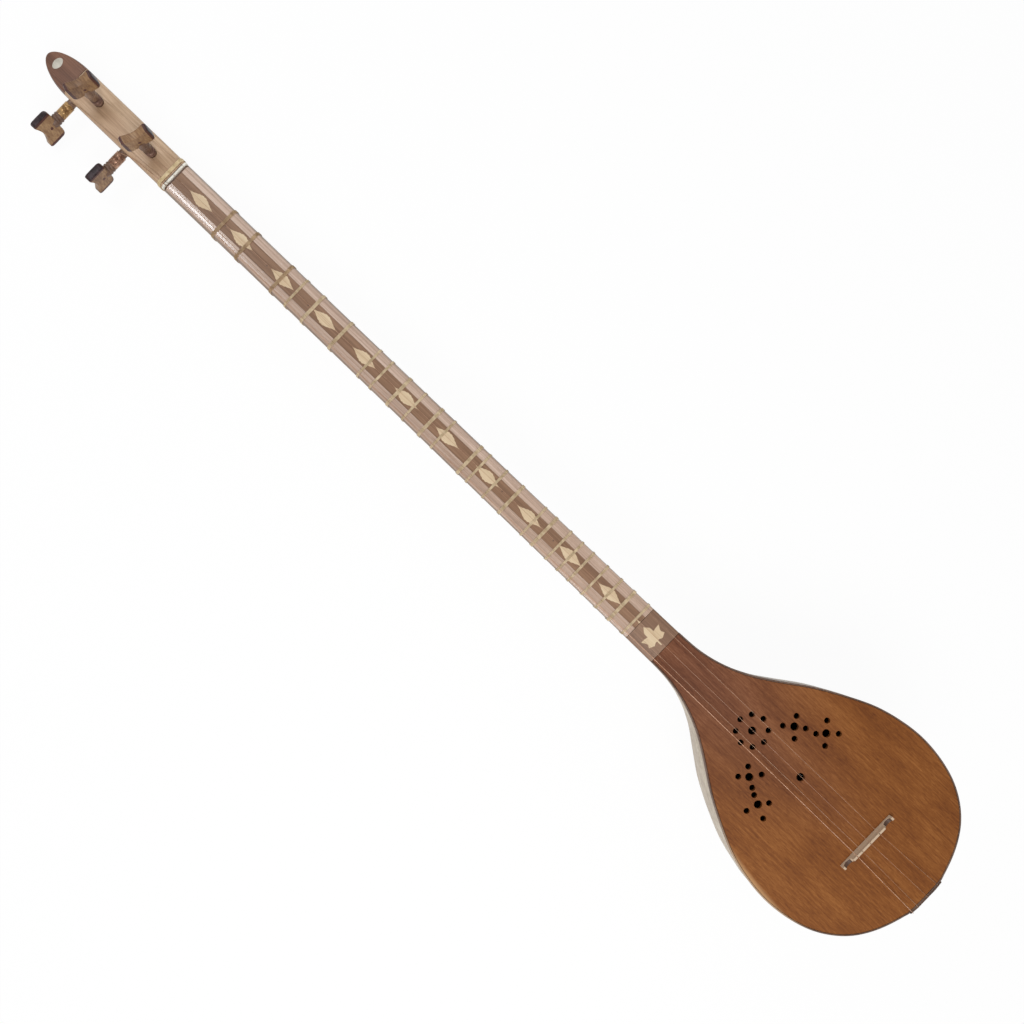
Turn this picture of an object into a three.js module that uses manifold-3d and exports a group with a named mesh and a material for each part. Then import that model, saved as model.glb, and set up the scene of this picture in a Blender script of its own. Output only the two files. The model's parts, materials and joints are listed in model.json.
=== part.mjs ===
// A setar: a long-necked lute with four strings, lying at rest on the back of its bowl and of its head.
// Millimetres. The instrument is first built level: x runs along the strings towards the head, y towards the
// side pegs and z out of the soundboard, with x = 0 at the middle of the nut and z = 0 on the soundboard's face.
// The last lines lay it down on the plane z = 0, with z up.

import * as THREE from "three";
import { mergeVertices } from "three/addons/utils/BufferGeometryUtils.js";
import Module from "manifold-3d";

const wasm = await Module();
wasm.setup();

// Fits
const FIT_GAP = 0.3; // between pieces that touch on the real instrument
const BLOCK_GAP = 0.5; // between the ribs and what they are glued to
const NOTCH_GAP = 0.45; // under a string in its notch
const CUT_OVERRUN = 2; // how far a cutting solid runs past what it cuts

// Neck and head
const NECK_LENGTH = 473.6; // from the middle of the nut to the soundboard
const NECK_WIDTH_AT_NUT = 24.4;
const NECK_WIDTH_AT_BODY = 28.3;
const NECK_DEPTH_AT_NUT = 21;
const NECK_DEPTH_AT_BODY = 26;
const NECK_FLARE = 2.2; // 1 widens evenly from the nut to the body, more widens late
const FLAT_WIDTH_AT_NUT = 19; // flat face between the rounded shoulders
const FLAT_WIDTH_AT_BODY = 26.4;
const SHOULDER_DROP_AT_NUT = 4; // from the face down to the widest line
const SHOULDER_DROP_AT_BODY = 2.8;
const HEAD_LENGTH = 95.6; // from the middle of the nut to the end cap
const HEAD_FLAT_WIDTH = 20.4;
const HEAD_SHOULDER_DROP = 4;
const CAP_LENGTH = 26.6;
const NECK_SPANS = 6; // of the neck's surface from end to end
const CAP_STATION_SHARES = [0, 0.2, 0.4, 0.58, 0.73, 0.85, 0.93, 0.98];

// Fingerboard
const FINGERBOARD_THICKNESS = 1.8;
const CENTRE_STRIP_WIDTH = 10.2;
const PANEL_LENGTH = 24; // the leaf panel, between the fingerboard and the soundboard
const LEAF_LENGTH = 17.5; // with its stalk
const LEAF_WIDTH = 17.8;
const LEAF_THICKNESS = 0.6;
const LEAF_CENTRE_SHARE = 0.51; // of the panel's length, from its end towards the nut
const LEAF_OFFSET = 0.6; // from the middle line towards the side pegs

// Nut and the gut ring that holds the strings down behind it
const NUT_THICKNESS = 1.9;
const NUT_HEIGHT = 1.5; // above the fingerboard
const NUT_END_ROUNDING = 1.6;
const HOLD_RING_DISTANCE = 4.4; // from the middle of the nut
const HOLD_RING_WIDTH = 2.6;
const HOLD_RING_LIFT = 0.9; // room for the strings under it
const RING_THICKNESS = 0.6;

// Frets: gut tied round the neck in three or four turns. Each place is a share of the fingerboard's length.
const WIDE_FRET_WIDTH = 2.5;
const NARROW_FRET_WIDTH = 1.8;
const WIDE_FRET_SHARES = [0.1054, 0.1548, 0.2291, 0.2963, 0.3561, 0.4815, 0.5496, 0.6339, 0.7231, 0.7945, 0.9604];
const NARROW_FRET_SHARES = [
  0.2607, 0.4175, 0.444, 0.5145, 0.577, 0.6528, 0.6882, 0.7714, 0.8252, 0.8501, 0.8734, 0.9035, 0.9331, 0.9904,
];

// Body
const BODY_LENGTH = 250.9;
const BODY_WIDTH = 157.8;
const BOWL_DEPTH = 122; // from the soundboard's face to the keel
const TAIL_WIDTH = 31;
const TAIL_DEPTH = 17;
const RIB_COUNT = 11;
const RIB_THICKNESS = 3;
const BOARD_THICKNESS = 2.5;
const BINDING_WIDTH = 1;
const SECTION_ROUNDNESS = 0.9; // at the widest place: 1 is an ellipse, less is fuller
const SIDE_BULGE_SHARE = 0.3; // how far the upper ribs swell between the neck and there, of the half width
const SIDE_BULGE_FALL = 1.5; // how fast that dies away towards the widest place
// Rows from the neck to the widest place: along the body, then how much of the width and depth is gained.
const FRONT_SHARES = [
  [0, 0, 0],
  [0.06, 0.01, 0.036],
  [0.116, 0.046, 0.104],
  [0.176, 0.12, 0.219],
  [0.237, 0.232, 0.365],
  [0.302, 0.393, 0.521],
  [0.372, 0.577, 0.667],
  [0.453, 0.75, 0.802],
  [0.534, 0.893, 0.906],
  [0.614, 0.972, 0.979],
  [0.685, 1, 1],
];
// Rows from there to the tail: along the body, then how much of the width and depth is still held.
const BACK_SHARES = [
  [0.76, 0.973, 0.971],
  [0.83, 0.895, 0.886],
  [0.89, 0.759, 0.743],
  [0.936, 0.58, 0.562],
  [0.97, 0.352, 0.352],
  [0.99, 0.138, 0.143],
  [1, 0, 0],
];
const RIM_STEPS_PER_ROW = 2;
const HEEL_ROWS = 3; // rows of the body that the neck's heel reaches into
const TAIL_BLOCK_ROWS = 3;

// Sound holes. Their distances are from the soundboard's end at the neck.
const BIG_HOLE_DIAMETER = 5.9;
const SMALL_HOLE_DIAMETER = 4.3;
const HOLE_SIDES = 10;
const ROSETTE_DISTANCE = 84;
const ROSETTE_RADIUS = 11.4;
const ROSETTE_COUNT = 8;
const CROSS_RADIUS = 8;
const INNER_CROSS_DISTANCES = [104.9, 103.2]; // at the side of the side pegs, and opposite
const INNER_CROSS_OFFSETS = [24.6, -22.5];
const OUTER_CROSS_DISTANCES = [122.5, 122.5];
const OUTER_CROSS_OFFSETS = [34.2, -34.5];
const LONE_HOLE_DISTANCE = 130.7;
// The small holes of each cross: shares of its radius towards the neck and towards the side pegs.
const INNER_CROSS_SHARES = [
  [
    [0.7, -0.59],
    [0.72, 0.64],
    [-0.63, -0.9],
    [-0.83, 0.5],
  ],
  [
    [0.77, 0.64],
    [0.5, -0.8],
    [-0.83, -0.56],
    [-0.74, 0.76],
  ],
];
const OUTER_CROSS_SHARES = [
  [
    [0.81, -0.36],
    [0.33, 1.09],
    [-1.17, 0.57],
    [-0.61, -0.75],
  ],
  [
    [0.61, 0.65],
    [0.72, -0.85],
    [-0.81, -0.71],
    [-0.68, 0.87],
  ],
];

// Strings, from the side of the side pegs across. All offsets are from the instrument's middle line.
const BRIDGE_DISTANCE = 194.8; // from the soundboard's end at the neck
const SCALE_LENGTH = NECK_LENGTH + BRIDGE_DISTANCE;
const STRING_NUT_OFFSETS = [9.2, 7.1, 0.2, -8.7];
const STRING_BRIDGE_OFFSETS = [12.7, 7.7, 0, -9.1];
const STRING_TAIL_OFFSETS = [13.9, 8.4, -1.2, -12];
const STRING_DIAMETERS = [0.4, 0.22, 0.22, 0.2];
const STRING_HEIGHT_AT_NUT = 1.3;
const STRING_HEIGHT_AT_BRIDGE = 5.2;
const STRING_SIDES = 6;
const WINDING_LOOPS = 4;
const WINDING_STEPS = 24;
const WINDING_PITCH = 0.92;
const WINDING_START = 2.4; // from the head's surface out along the peg

// Bridge
const BRIDGE_LENGTH = 49.2;
const BRIDGE_OFFSET = 0.8; // from the middle line towards the side pegs
const BRIDGE_TOP_LENGTH = 31;
const BRIDGE_FOOT_THICKNESS = 3.6;
const BRIDGE_TOP_THICKNESS = 1.6;
const BRIDGE_HEIGHT = 5.4;
const BRIDGE_FOOT_HEIGHT = 1.6; // under its hollowed shoulders
const BRIDGE_LIP_LENGTH = 1.6;
const BRIDGE_LIP_HEIGHT = 4.2;
const NOTCH_WIDTH = 1.3;

// Tailpiece
const TAILPIECE_THICKNESS = 1.3;
const TAILPIECE_HEIGHT = 9;
const TAILPIECE_RISE = 0.2; // above the soundboard
const TAILPIECE_ROUNDING = 1.2;
const TAIL_PIN_DIAMETER = 2;
const TAIL_PIN_LENGTH = 2;
const TAIL_PIN_DROP = 5.2;

// Pegs
const PEG_LENGTH = 17.4; // from the head to the knob
const PEG_DIAMETER_AT_KNOB = 7.5;
const PEG_DIAMETER_AT_HEAD = 6.2;
const PEG_DIAMETER_AT_END = 5.2;
const PEG_BEAD_DIAMETER = 8.2;
const PEG_BEAD_LENGTH = 1.8;
const PEG_BEAD_DISTANCE = 14.4;
const PEG_SIDES = 12;
const PEG_END_INSET = 0.6;
const KNOB_WIDTH = 20.8;
const KNOB_HEIGHT = 14.6;
const KNOB_THICKNESS = 5.4;
const KNOB_ROUNDING = 2.2;
const KNOB_HOLLOW = 2.6; // how deep its outer end is hollowed
const KNOB_EDGE_ROUNDING = 0.7;
const FRONT_PEG_DISTANCES = [22.2, 73.1];
const SIDE_PEG_DISTANCES = [40.6, 91];
const FRONT_PEG_OFFSET = -0.4;
const FRONT_PEG_LEAN = 5; // towards the side pegs, in degrees
const SIDE_PEG_DROP = 7; // from the head's face to the side pegs' axes
const FRONT_PEG_TURNS = [70, 70]; // of the knob about its peg, in degrees
const SIDE_PEG_TURNS = [90, 72];

// Ivory oval in the end cap
const OVAL_WIDTH = 10;
const OVAL_LENGTH = 6.6;
const OVAL_THICKNESS = 0.8;
const OVAL_DISTANCE = 112.9;
const OVAL_ARC_STEPS = 8;

const CURVE_STEPS = 6; // in a rounded corner of an outline

const material = (color, roughness, metalness = 0) =>
  new THREE.MeshStandardMaterial({ color, roughness, metalness });
const boardWood = material(0x7d4b28, 0.45);
const neckWood = material(0xc2a582, 0.5);
const ribWood = material(0xbdb4a2, 0.5);
const blockWood = material(0xc8b48e, 0.7);
const darkWood = material(0x5b3a2c, 0.4);
const paleWood = material(0xcbb092, 0.45);
const pegWood = material(0x9a7a55, 0.5);
const bindingWood = material(0x2a201a, 0.5);
const bridgeWood = material(0xa8917a, 0.6);
const bone = material(0xe9e4d4, 0.35);
const gut = material(0xc9b27c, 0.4);
const steel = material(0xc4c4c2, 0.25, 1);
const brass = material(0xc9a14a, 0.3, 1);

const instrument = new THREE.Group();

const degrees = (angle) => (angle * Math.PI) / 180;
const mix = (a, b, share) => a + (b - a) * share;

function addPiece(name, geometry, look) {
  const mesh = new THREE.Mesh(geometry, look);
  mesh.name = name;
  instrument.add(mesh);
  return mesh;
}

// Solids

// The closed geometry between sections: rows of points that are convex and equally many.
function loft(rows) {
  const count = rows[0].length;
  const positions = [];
  const triangle = (a, b, c) => positions.push(...a, ...b, ...c);
  for (let i = 0; i + 1 < rows.length; i++) {
    for (let k = 0; k < count; k++) {
      const next = (k + 1) % count;
      triangle(rows[i][k], rows[i][next], rows[i + 1][k]);
      triangle(rows[i][next], rows[i + 1][next], rows[i + 1][k]);
    }
  }
  const last = rows[rows.length - 1];
  for (let k = 1; k + 1 < count; k++) {
    triangle(rows[0][0], rows[0][k + 1], rows[0][k]);
    triangle(last[0], last[k], last[k + 1]);
  }
  return outward(positions);
}

// A geometry of these corners whose faces point outwards.
function outward(positions) {
  let volume = 0;
  const [a, b, c] = [new THREE.Vector3(), new THREE.Vector3(), new THREE.Vector3()];
  for (let i = 0; i < positions.length; i += 9) {
    a.fromArray(positions, i);
    b.fromArray(positions, i + 3);
    c.fromArray(positions, i + 6);
    volume += a.dot(b.cross(c));
  }
  if (volume < 0) {
    for (let i = 0; i < positions.length; i += 9) {
      const second = positions.slice(i + 3, i + 6);
      positions.splice(i + 3, 6, ...positions.slice(i + 6, i + 9), ...second);
    }
  }
  const geometry = new THREE.BufferGeometry();
  geometry.setAttribute("position", new THREE.Float32BufferAttribute(positions, 3));
  geometry.computeVertexNormals();
  return geometry;
}

function solidOf(geometry) {
  const bare = geometry.clone();
  bare.deleteAttribute("normal");
  bare.deleteAttribute("uv");
  const merged = mergeVertices(bare);
  const vertProperties = merged.getAttribute("position").array;
  const triVerts = new Uint32Array(merged.index.array);
  return new wasm.Manifold(new wasm.Mesh({ numProp: 3, vertProperties, triVerts }));
}

function geometryOf(solid) {
  const mesh = solid.getMesh();
  const geometry = new THREE.BufferGeometry();
  geometry.setAttribute("position", new THREE.BufferAttribute(mesh.vertProperties, 3));
  geometry.setIndex(new THREE.BufferAttribute(mesh.triVerts, 1));
  geometry.computeVertexNormals();
  return geometry;
}

const joined = (...geometries) => geometryOf(geometries.map(solidOf).reduce((a, b) => a.add(b)));
const cut = (geometry, ...cutters) =>
  geometryOf(cutters.map(solidOf).reduce((a, b) => a.subtract(b), solidOf(geometry)));
const common = (a, b) => geometryOf(solidOf(a).intersect(solidOf(b)));

// A flat shape of x and y, extruded up from one height to another.
function slab(shape, low, high) {
  const geometry = new THREE.ExtrudeGeometry(shape, { depth: high - low, bevelEnabled: false });
  return geometry.translate(0, 0, low);
}

// A flat shape drawn in y and z, extruded along x from one place to another.
function bar(shape, from, to) {
  const geometry = new THREE.ExtrudeGeometry(shape, { depth: to - from, bevelEnabled: false });
  geometry.applyMatrix4(new THREE.Matrix4().set(0, 0, 1, from, 1, 0, 0, 0, 0, 1, 0, 0, 0, 0, 0, 1));
  return geometry;
}

function box(low, high) {
  const size = high.map((value, i) => value - low[i]);
  const middle = high.map((value, i) => (value + low[i]) / 2);
  return new THREE.BoxGeometry(...size).translate(...middle);
}

// The outline moved out by a distance if it runs anticlockwise, and in if it runs clockwise.
function offsetOutline(points, distance) {
  return points.map((point, i) => {
    const before = points[(i + points.length - 1) % points.length];
    const after = points[(i + 1) % points.length];
    const inDirection = point.clone().sub(before).normalize();
    const outDirection = after.clone().sub(point).normalize();
    const normal = new THREE.Vector2(inDirection.y + outDirection.y, -inDirection.x - outDirection.x).normalize();
    const reach = distance / Math.max(normal.dot(new THREE.Vector2(inDirection.y, -inDirection.x)), 0.5);
    return point.clone().addScaledVector(normal, reach);
  });
}

function ringShape(points, innerOffset, outerOffset) {
  const shape = new THREE.Shape(offsetOutline(points, outerOffset));
  shape.holes.push(new THREE.Path(offsetOutline(points, innerOffset).reverse()));
  return shape;
}

// A tube of one diameter through the points, with flat ends.
function tube(points, diameter) {
  const rows = [];
  let side = new THREE.Vector3(0, 1, 0);
  points.forEach((point, i) => {
    const before = points[Math.max(i - 1, 0)];
    const after = points[Math.min(i + 1, points.length - 1)];
    const along = after.clone().sub(before).normalize();
    side = side.clone().addScaledVector(along, -side.dot(along)).normalize();
    const other = along.clone().cross(side);
    const row = [];
    for (let k = 0; k < STRING_SIDES; k++) {
      const turn = (2 * Math.PI * k) / STRING_SIDES;
      const corner = point.clone().addScaledVector(side, (Math.cos(turn) * diameter) / 2);
      row.push(corner.addScaledVector(other, (Math.sin(turn) * diameter) / 2).toArray());
    }
    rows.push(row);
  });
  return loft(rows);
}

// Sections

// The edges of the staves on one section, from the rim at +y down round the keel to the rim at -y. A section
// no wider than the neck is a half ellipse, wider ones are fuller, and those between it and the widest place
// swell out under the rim.
function staveEdge(share, halfWidth, depth, rim) {
  const turn = Math.PI * share;
  const gained = (2 * halfWidth - NECK_WIDTH_AT_BODY) / (BODY_WIDTH - NECK_WIDTH_AT_BODY);
  const fullness = Math.min(Math.max(gained, 0), 1);
  const power = mix(1, SECTION_ROUNDNESS, fullness);
  const across = Math.sign(Math.cos(turn)) * Math.abs(Math.cos(turn)) ** power;
  const bulge = SIDE_BULGE_SHARE * fullness * (1 - fullness) ** SIDE_BULGE_FALL;
  const y = halfWidth * (across + bulge * Math.sin(2 * turn));
  const z = -rim - (depth - rim) * Math.abs(Math.sin(turn)) ** power;
  return new THREE.Vector2(y, z);
}

// Half the width of the rounded shoulder at a depth under the face.
function shoulder(flatHalf, halfWidth, drop, under) {
  const rise = Math.min(under / drop, 1);
  return flatHalf + (halfWidth - flatHalf) * Math.sqrt(1 - (1 - rise) ** 2);
}

const SHAFT_TOP = FINGERBOARD_THICKNESS + FIT_GAP; // the neck's own upper face, under the fingerboard

// The outline of the neck or head at a place, cut off flat at a depth under the face.
function neckOutline(flatHalf, halfWidth, depth, drop, under) {
  const half = [new THREE.Vector2(shoulder(flatHalf, halfWidth, drop, under), -under)];
  if (under < SHAFT_TOP) half.push(new THREE.Vector2(shoulder(flatHalf, halfWidth, drop, SHAFT_TOP), -SHAFT_TOP));
  const staves = [];
  for (let k = 0; k <= RIB_COUNT; k++) staves.push(staveEdge(k / RIB_COUNT, halfWidth, depth, drop));
  const mirrored = half.map((point) => new THREE.Vector2(-point.x, point.y)).reverse();
  return [...half, ...staves, ...mirrored].reverse();
}

// How much of its growth from the nut to the body the neck has made at a distance from the nut.
const neckGrowth = (distance) => Math.max(distance / NECK_LENGTH, 0) ** NECK_FLARE;

// The neck's outline at a distance from the nut towards the body.
function neckOutlineAt(distance, under) {
  const share = neckGrowth(distance);
  return neckOutline(
    mix(FLAT_WIDTH_AT_NUT, FLAT_WIDTH_AT_BODY, share) / 2,
    mix(NECK_WIDTH_AT_NUT, NECK_WIDTH_AT_BODY, share) / 2,
    mix(NECK_DEPTH_AT_NUT, NECK_DEPTH_AT_BODY, share),
    mix(SHOULDER_DROP_AT_NUT, SHOULDER_DROP_AT_BODY, share),
    under,
  );
}

const headOutline = (lift) => {
  const outline = neckOutline(
    HEAD_FLAT_WIDTH / 2,
    NECK_WIDTH_AT_NUT / 2,
    NECK_DEPTH_AT_NUT,
    HEAD_SHOULDER_DROP,
    0,
  );
  return outline.map((point) => new THREE.Vector2(point.x, point.y === 0 ? lift : point.y));
};

const sectionAt = (x, outline) => outline.map((point) => [x, point.x, point.y]);

// The body's surface

const BODY_START = -NECK_LENGTH - FIT_GAP;
const BODY_END = BODY_START - BODY_LENGTH;
const RIM = BOARD_THICKNESS + FIT_GAP; // the ribs' upper edge under the soundboard's face

// x, half width and depth at each row, as the points of one smooth curve.
const bodyRows = [
  ...FRONT_SHARES.map(([along, width, depth]) => [
    along,
    mix(NECK_WIDTH_AT_BODY, BODY_WIDTH, width) / 2,
    mix(NECK_DEPTH_AT_BODY, BOWL_DEPTH, depth),
  ]),
  ...BACK_SHARES.map(([along, width, depth]) => [
    along,
    mix(TAIL_WIDTH, BODY_WIDTH, width) / 2,
    mix(TAIL_DEPTH, BOWL_DEPTH, depth),
  ]),
].map(([along, halfWidth, depth]) => new THREE.Vector3(BODY_START - along * BODY_LENGTH, halfWidth, depth));

// The end of the head that touches the ground, and the keel, give the slope at which the instrument rests.
const CAP_START = HEAD_LENGTH + FIT_GAP;
const headContacts = CAP_STATION_SHARES.map((share) => {
  const lowest = Math.min(...headOutline(0).map((point) => point.y));
  return new THREE.Vector2(CAP_START + share * CAP_LENGTH, lowest * Math.sqrt(1 - share ** 2));
});
const keelDepth = (row) => -staveEdge((RIB_COUNT - 1) / 2 / RIB_COUNT, row.y, row.z, RIM).y;
const slopeTo = (row) =>
  Math.min(...headContacts.map((contact) => (contact.y + keelDepth(row)) / (contact.x - row.x)));
const bySlope = bodyRows.map((row, i) => i).sort((a, b) => slopeTo(bodyRows[b]) - slopeTo(bodyRows[a]));
const [restRow, secondRow] = bySlope;
const restSlope = slopeTo(bodyRows[restRow]);
const restAngle = Math.atan(restSlope);

// The keel is flat between the two rows that it rests on, so the second lies on the line through the first.
function flattenKeel() {
  const wanted = keelDepth(bodyRows[restRow]) + (bodyRows[restRow].x - bodyRows[secondRow].x) * restSlope;
  const roundness = (keelDepth(bodyRows[secondRow]) - RIM) / (bodyRows[secondRow].z - RIM);
  bodyRows[secondRow].z = RIM + (wanted - RIM) / roundness;
}
flattenKeel();

const bodyCurve = new THREE.CatmullRomCurve3(bodyRows, false, "centripetal");

// A point of the bowl's outer face: along the body and round its section, both from 0 to 1.
function bowlPoint(along, round) {
  const row = bodyCurve.getPoint(along);
  const edge = staveEdge(round, row.y, row.z, RIM);
  return new THREE.Vector3(row.x, edge.x, edge.y);
}

const clamp = (value) => Math.min(Math.max(value, 0), 1);

function bowlNormal(along, round) {
  const step = 1 / bodyRows.length ** 2;
  const byLength = bowlPoint(clamp(along + step), round).sub(bowlPoint(clamp(along - step), round));
  const byTurn = bowlPoint(along, clamp(round + step)).sub(bowlPoint(along, clamp(round - step)));
  const normal = byLength.cross(byTurn);
  if (round === 0 || round === 1) normal.z = 0;
  if (normal.dot(new THREE.Vector3(0, Math.cos(Math.PI * round), -Math.sin(Math.PI * round))) < 0) normal.negate();
  return normal.normalize();
}

// A point under the bowl's face, at a depth square to it.
const bowlInside = (along, round, inset) =>
  bowlPoint(along, round).addScaledVector(bowlNormal(along, round), -inset);

const rowShare = (index) => index / (bodyRows.length - 1);

// The rim as seen from above, moved in by an inset, from the neck round the tail and back.
function rimOutline(inset) {
  const steps = (bodyRows.length - 1) * RIM_STEPS_PER_ROW;
  const side = [];
  for (let i = 0; i <= steps; i++) side.push(bowlInside(i / steps, 0, inset));
  side[0].x = BODY_START;
  side[steps].x = BODY_END + inset;
  const there = side.map((point) => new THREE.Vector2(point.x, point.y));
  const back = there.map((point) => new THREE.Vector2(point.x, -point.y)).reverse();
  return [...there, ...back];
}

// Body

function makeRib(number) {
  const rows = bodyRows.map((row, i) => {
    const along = rowShare(i);
    const first = (number - 1) / RIB_COUNT;
    const second = number / RIB_COUNT;
    const outer = [bowlPoint(along, first), bowlPoint(along, second)];
    const inner = [bowlInside(along, first, RIB_THICKNESS), bowlInside(along, second, RIB_THICKNESS)];
    return [...narrowed(...outer, number), ...narrowed(...inner, number).reverse()].map((p) => p.toArray());
  });
  return loft(rows);
}

// Two edges of a stave drawn together by half the gap to each neighbour, but not at the rim.
function narrowed(a, b, number) {
  const towards = b.clone().sub(a).normalize();
  const start = number === 1 ? a : a.clone().addScaledVector(towards, FIT_GAP / 2);
  const end = number === RIB_COUNT ? b : b.clone().addScaledVector(towards, -FIT_GAP / 2);
  return [start, end];
}

for (let number = 1; number <= RIB_COUNT; number++) {
  addPiece("bowl_rib_" + String(number).padStart(2, "0"), makeRib(number), ribWood);
}

function holePath(distance, offset, diameter) {
  const path = new THREE.Path();
  for (let k = 0; k < HOLE_SIDES; k++) {
    const turn = (-2 * Math.PI * k) / HOLE_SIDES;
    const x = -NECK_LENGTH - distance + (Math.cos(turn) * diameter) / 2;
    const y = offset + (Math.sin(turn) * diameter) / 2;
    if (k === 0) path.moveTo(x, y);
    else path.lineTo(x, y);
  }
  return path;
}

// A big hole with small ones round it, at shares of the radius.
function holeGroup(distance, offset, radius, shares) {
  const small = shares.map(([forward, sideways]) =>
    holePath(distance - forward * radius, offset + sideways * radius, SMALL_HOLE_DIAMETER),
  );
  return [holePath(distance, offset, BIG_HOLE_DIAMETER), ...small];
}

function makeSoundboard() {
  const shape = new THREE.Shape(rimOutline(BINDING_WIDTH + FIT_GAP));
  const rosetteShares = Array.from({ length: ROSETTE_COUNT }, (_, k) => {
    const turn = (2 * Math.PI * k) / ROSETTE_COUNT;
    return [Math.cos(turn), Math.sin(turn)];
  });
  shape.holes.push(...holeGroup(ROSETTE_DISTANCE, 0, ROSETTE_RADIUS, rosetteShares));
  for (const i of [0, 1]) {
    shape.holes.push(
      ...holeGroup(INNER_CROSS_DISTANCES[i], INNER_CROSS_OFFSETS[i], CROSS_RADIUS, INNER_CROSS_SHARES[i]),
      ...holeGroup(OUTER_CROSS_DISTANCES[i], OUTER_CROSS_OFFSETS[i], CROSS_RADIUS, OUTER_CROSS_SHARES[i]),
    );
  }
  shape.holes.push(holePath(LONE_HOLE_DISTANCE, 0, BIG_HOLE_DIAMETER));
  return slab(shape, -BOARD_THICKNESS, 0);
}

function makeBinding() {
  const outline = [...rimOutline(0), ...rimOutline(BINDING_WIDTH).reverse()];
  return slab(new THREE.Shape(outline), -BOARD_THICKNESS, 0);
}

// A solid that fills the bowl's inside between two of its rows.
function insideFill(firstRow, lastRow) {
  const rows = [];
  for (let i = firstRow; i <= lastRow; i++) {
    const row = [];
    for (let k = 0; k <= RIB_COUNT; k++) {
      row.push(bowlInside(rowShare(i), k / RIB_COUNT, RIB_THICKNESS + BLOCK_GAP).toArray());
    }
    rows.push(row);
  }
  return loft(rows);
}

// The block inside the tail, with a nose that closes the opening between the ribs' ends.
function makeTailBlock() {
  const last = bodyRows.length - 1;
  const opening = [];
  for (let k = 0; k <= RIB_COUNT; k++) {
    const edge = bowlInside(1, k / RIB_COUNT, RIB_THICKNESS);
    opening.push(new THREE.Vector2(edge.y, edge.z));
  }
  const nose = offsetOutline(opening, BLOCK_GAP);
  const noseRows = [BODY_END + 2 * RIB_THICKNESS, BODY_END].map((x) => sectionAt(x, nose));
  return joined(insideFill(last - TAIL_BLOCK_ROWS + 1, last), loft(noseRows));
}

addPiece("soundboard", makeSoundboard(), boardWood);
addPiece("edge_binding", makeBinding(), bindingWood);
addPiece("tail_block", makeTailBlock(), blockWood);

// Neck and head

const headStart = NUT_THICKNESS / 2 + FIT_GAP;

// Places from one x to another, close enough that the neck's surface stays smooth between them.
function neckStations(from, to) {
  return Array.from({ length: NECK_SPANS + 1 }, (_, i) => mix(from, to, i / NECK_SPANS));
}

function neckShaft() {
  const rows = neckStations(-NECK_LENGTH, 0).map((x) => sectionAt(x, neckOutlineAt(-x, SHAFT_TOP)));
  return loft([...rows, sectionAt(headStart + FIT_GAP, neckOutlineAt(0, SHAFT_TOP))]);
}

const headBlock = () => loft([sectionAt(headStart, headOutline(0)), sectionAt(HEAD_LENGTH, headOutline(0))]);

// The heel that the ribs are glued to, joined to the neck's end by a short stub of its own first section.
function heel() {
  const fill = insideFill(0, HEEL_ROWS);
  const inner = [];
  for (let k = 0; k <= RIB_COUNT; k++) {
    inner.push(bowlInside(0, k / RIB_COUNT, RIB_THICKNESS + BLOCK_GAP).toArray());
  }
  const stub = inner.map(([, y, z]) => [-NECK_LENGTH + CUT_OVERRUN, y, z]);
  return joined(fill, loft([inner, stub]));
}

const pegRadiusAt = (out) =>
  out >= 0
    ? mix(PEG_DIAMETER_AT_HEAD, PEG_DIAMETER_AT_KNOB, out / PEG_LENGTH) / 2
    : mix(PEG_DIAMETER_AT_HEAD, PEG_DIAMETER_AT_END, -out / NECK_WIDTH_AT_NUT) / 2;

// The peg's seat in the head: a tapered hole with its gap, right through.
function pegBore(length) {
  const top = pegRadiusAt(CUT_OVERRUN) + FIT_GAP;
  const bottom = pegRadiusAt(-length) + FIT_GAP;
  const bore = new THREE.CylinderGeometry(top, bottom, length + 2 * CUT_OVERRUN, PEG_SIDES);
  return bore.rotateX(Math.PI / 2).translate(0, 0, -length / 2);
}

// Where each peg stands: its place on the head's surface, the turn that points it outwards, and its knob's turn.
const pegPlaces = [
  ...FRONT_PEG_DISTANCES.map((distance, i) => ({
    name: ["peg_front_lower", "peg_front_upper"][i],
    at: new THREE.Vector3(distance, FRONT_PEG_OFFSET, 0),
    tip: new THREE.Euler(-degrees(FRONT_PEG_LEAN), 0, 0),
    knobTurn: degrees(FRONT_PEG_TURNS[i]),
    inside: NECK_DEPTH_AT_NUT,
  })),
  ...SIDE_PEG_DISTANCES.map((distance, i) => ({
    name: ["peg_side_lower", "peg_side_upper"][i],
    at: new THREE.Vector3(distance, NECK_WIDTH_AT_NUT / 2, -SIDE_PEG_DROP),
    tip: new THREE.Euler(-Math.PI / 2, 0, 0),
    knobTurn: -degrees(SIDE_PEG_TURNS[i]),
    inside: NECK_WIDTH_AT_NUT,
  })),
];

function placed(geometry, place) {
  const matrix = new THREE.Matrix4().makeRotationFromEuler(place.tip).setPosition(place.at);
  return geometry.applyMatrix4(matrix);
}

function makeNeck() {
  const body = joined(neckShaft(), headBlock(), heel());
  return cut(body, ...pegPlaces.map((place) => placed(pegBore(place.inside), place)));
}

addPiece("neck", makeNeck(), neckWood);

// The pointed oval: two arcs that meet at its ends.
function ovalShape(grow) {
  const half = OVAL_WIDTH / 2 + grow;
  const bulge = OVAL_LENGTH / 2 + grow;
  const points = [];
  for (let side = 1; side >= -1; side -= 2) {
    for (let k = 0; k < OVAL_ARC_STEPS; k++) {
      const turn = (Math.PI * k) / OVAL_ARC_STEPS;
      points.push(new THREE.Vector2(OVAL_DISTANCE + side * Math.sin(turn) * bulge, -side * Math.cos(turn) * half));
    }
  }
  return new THREE.Shape(points);
}

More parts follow.
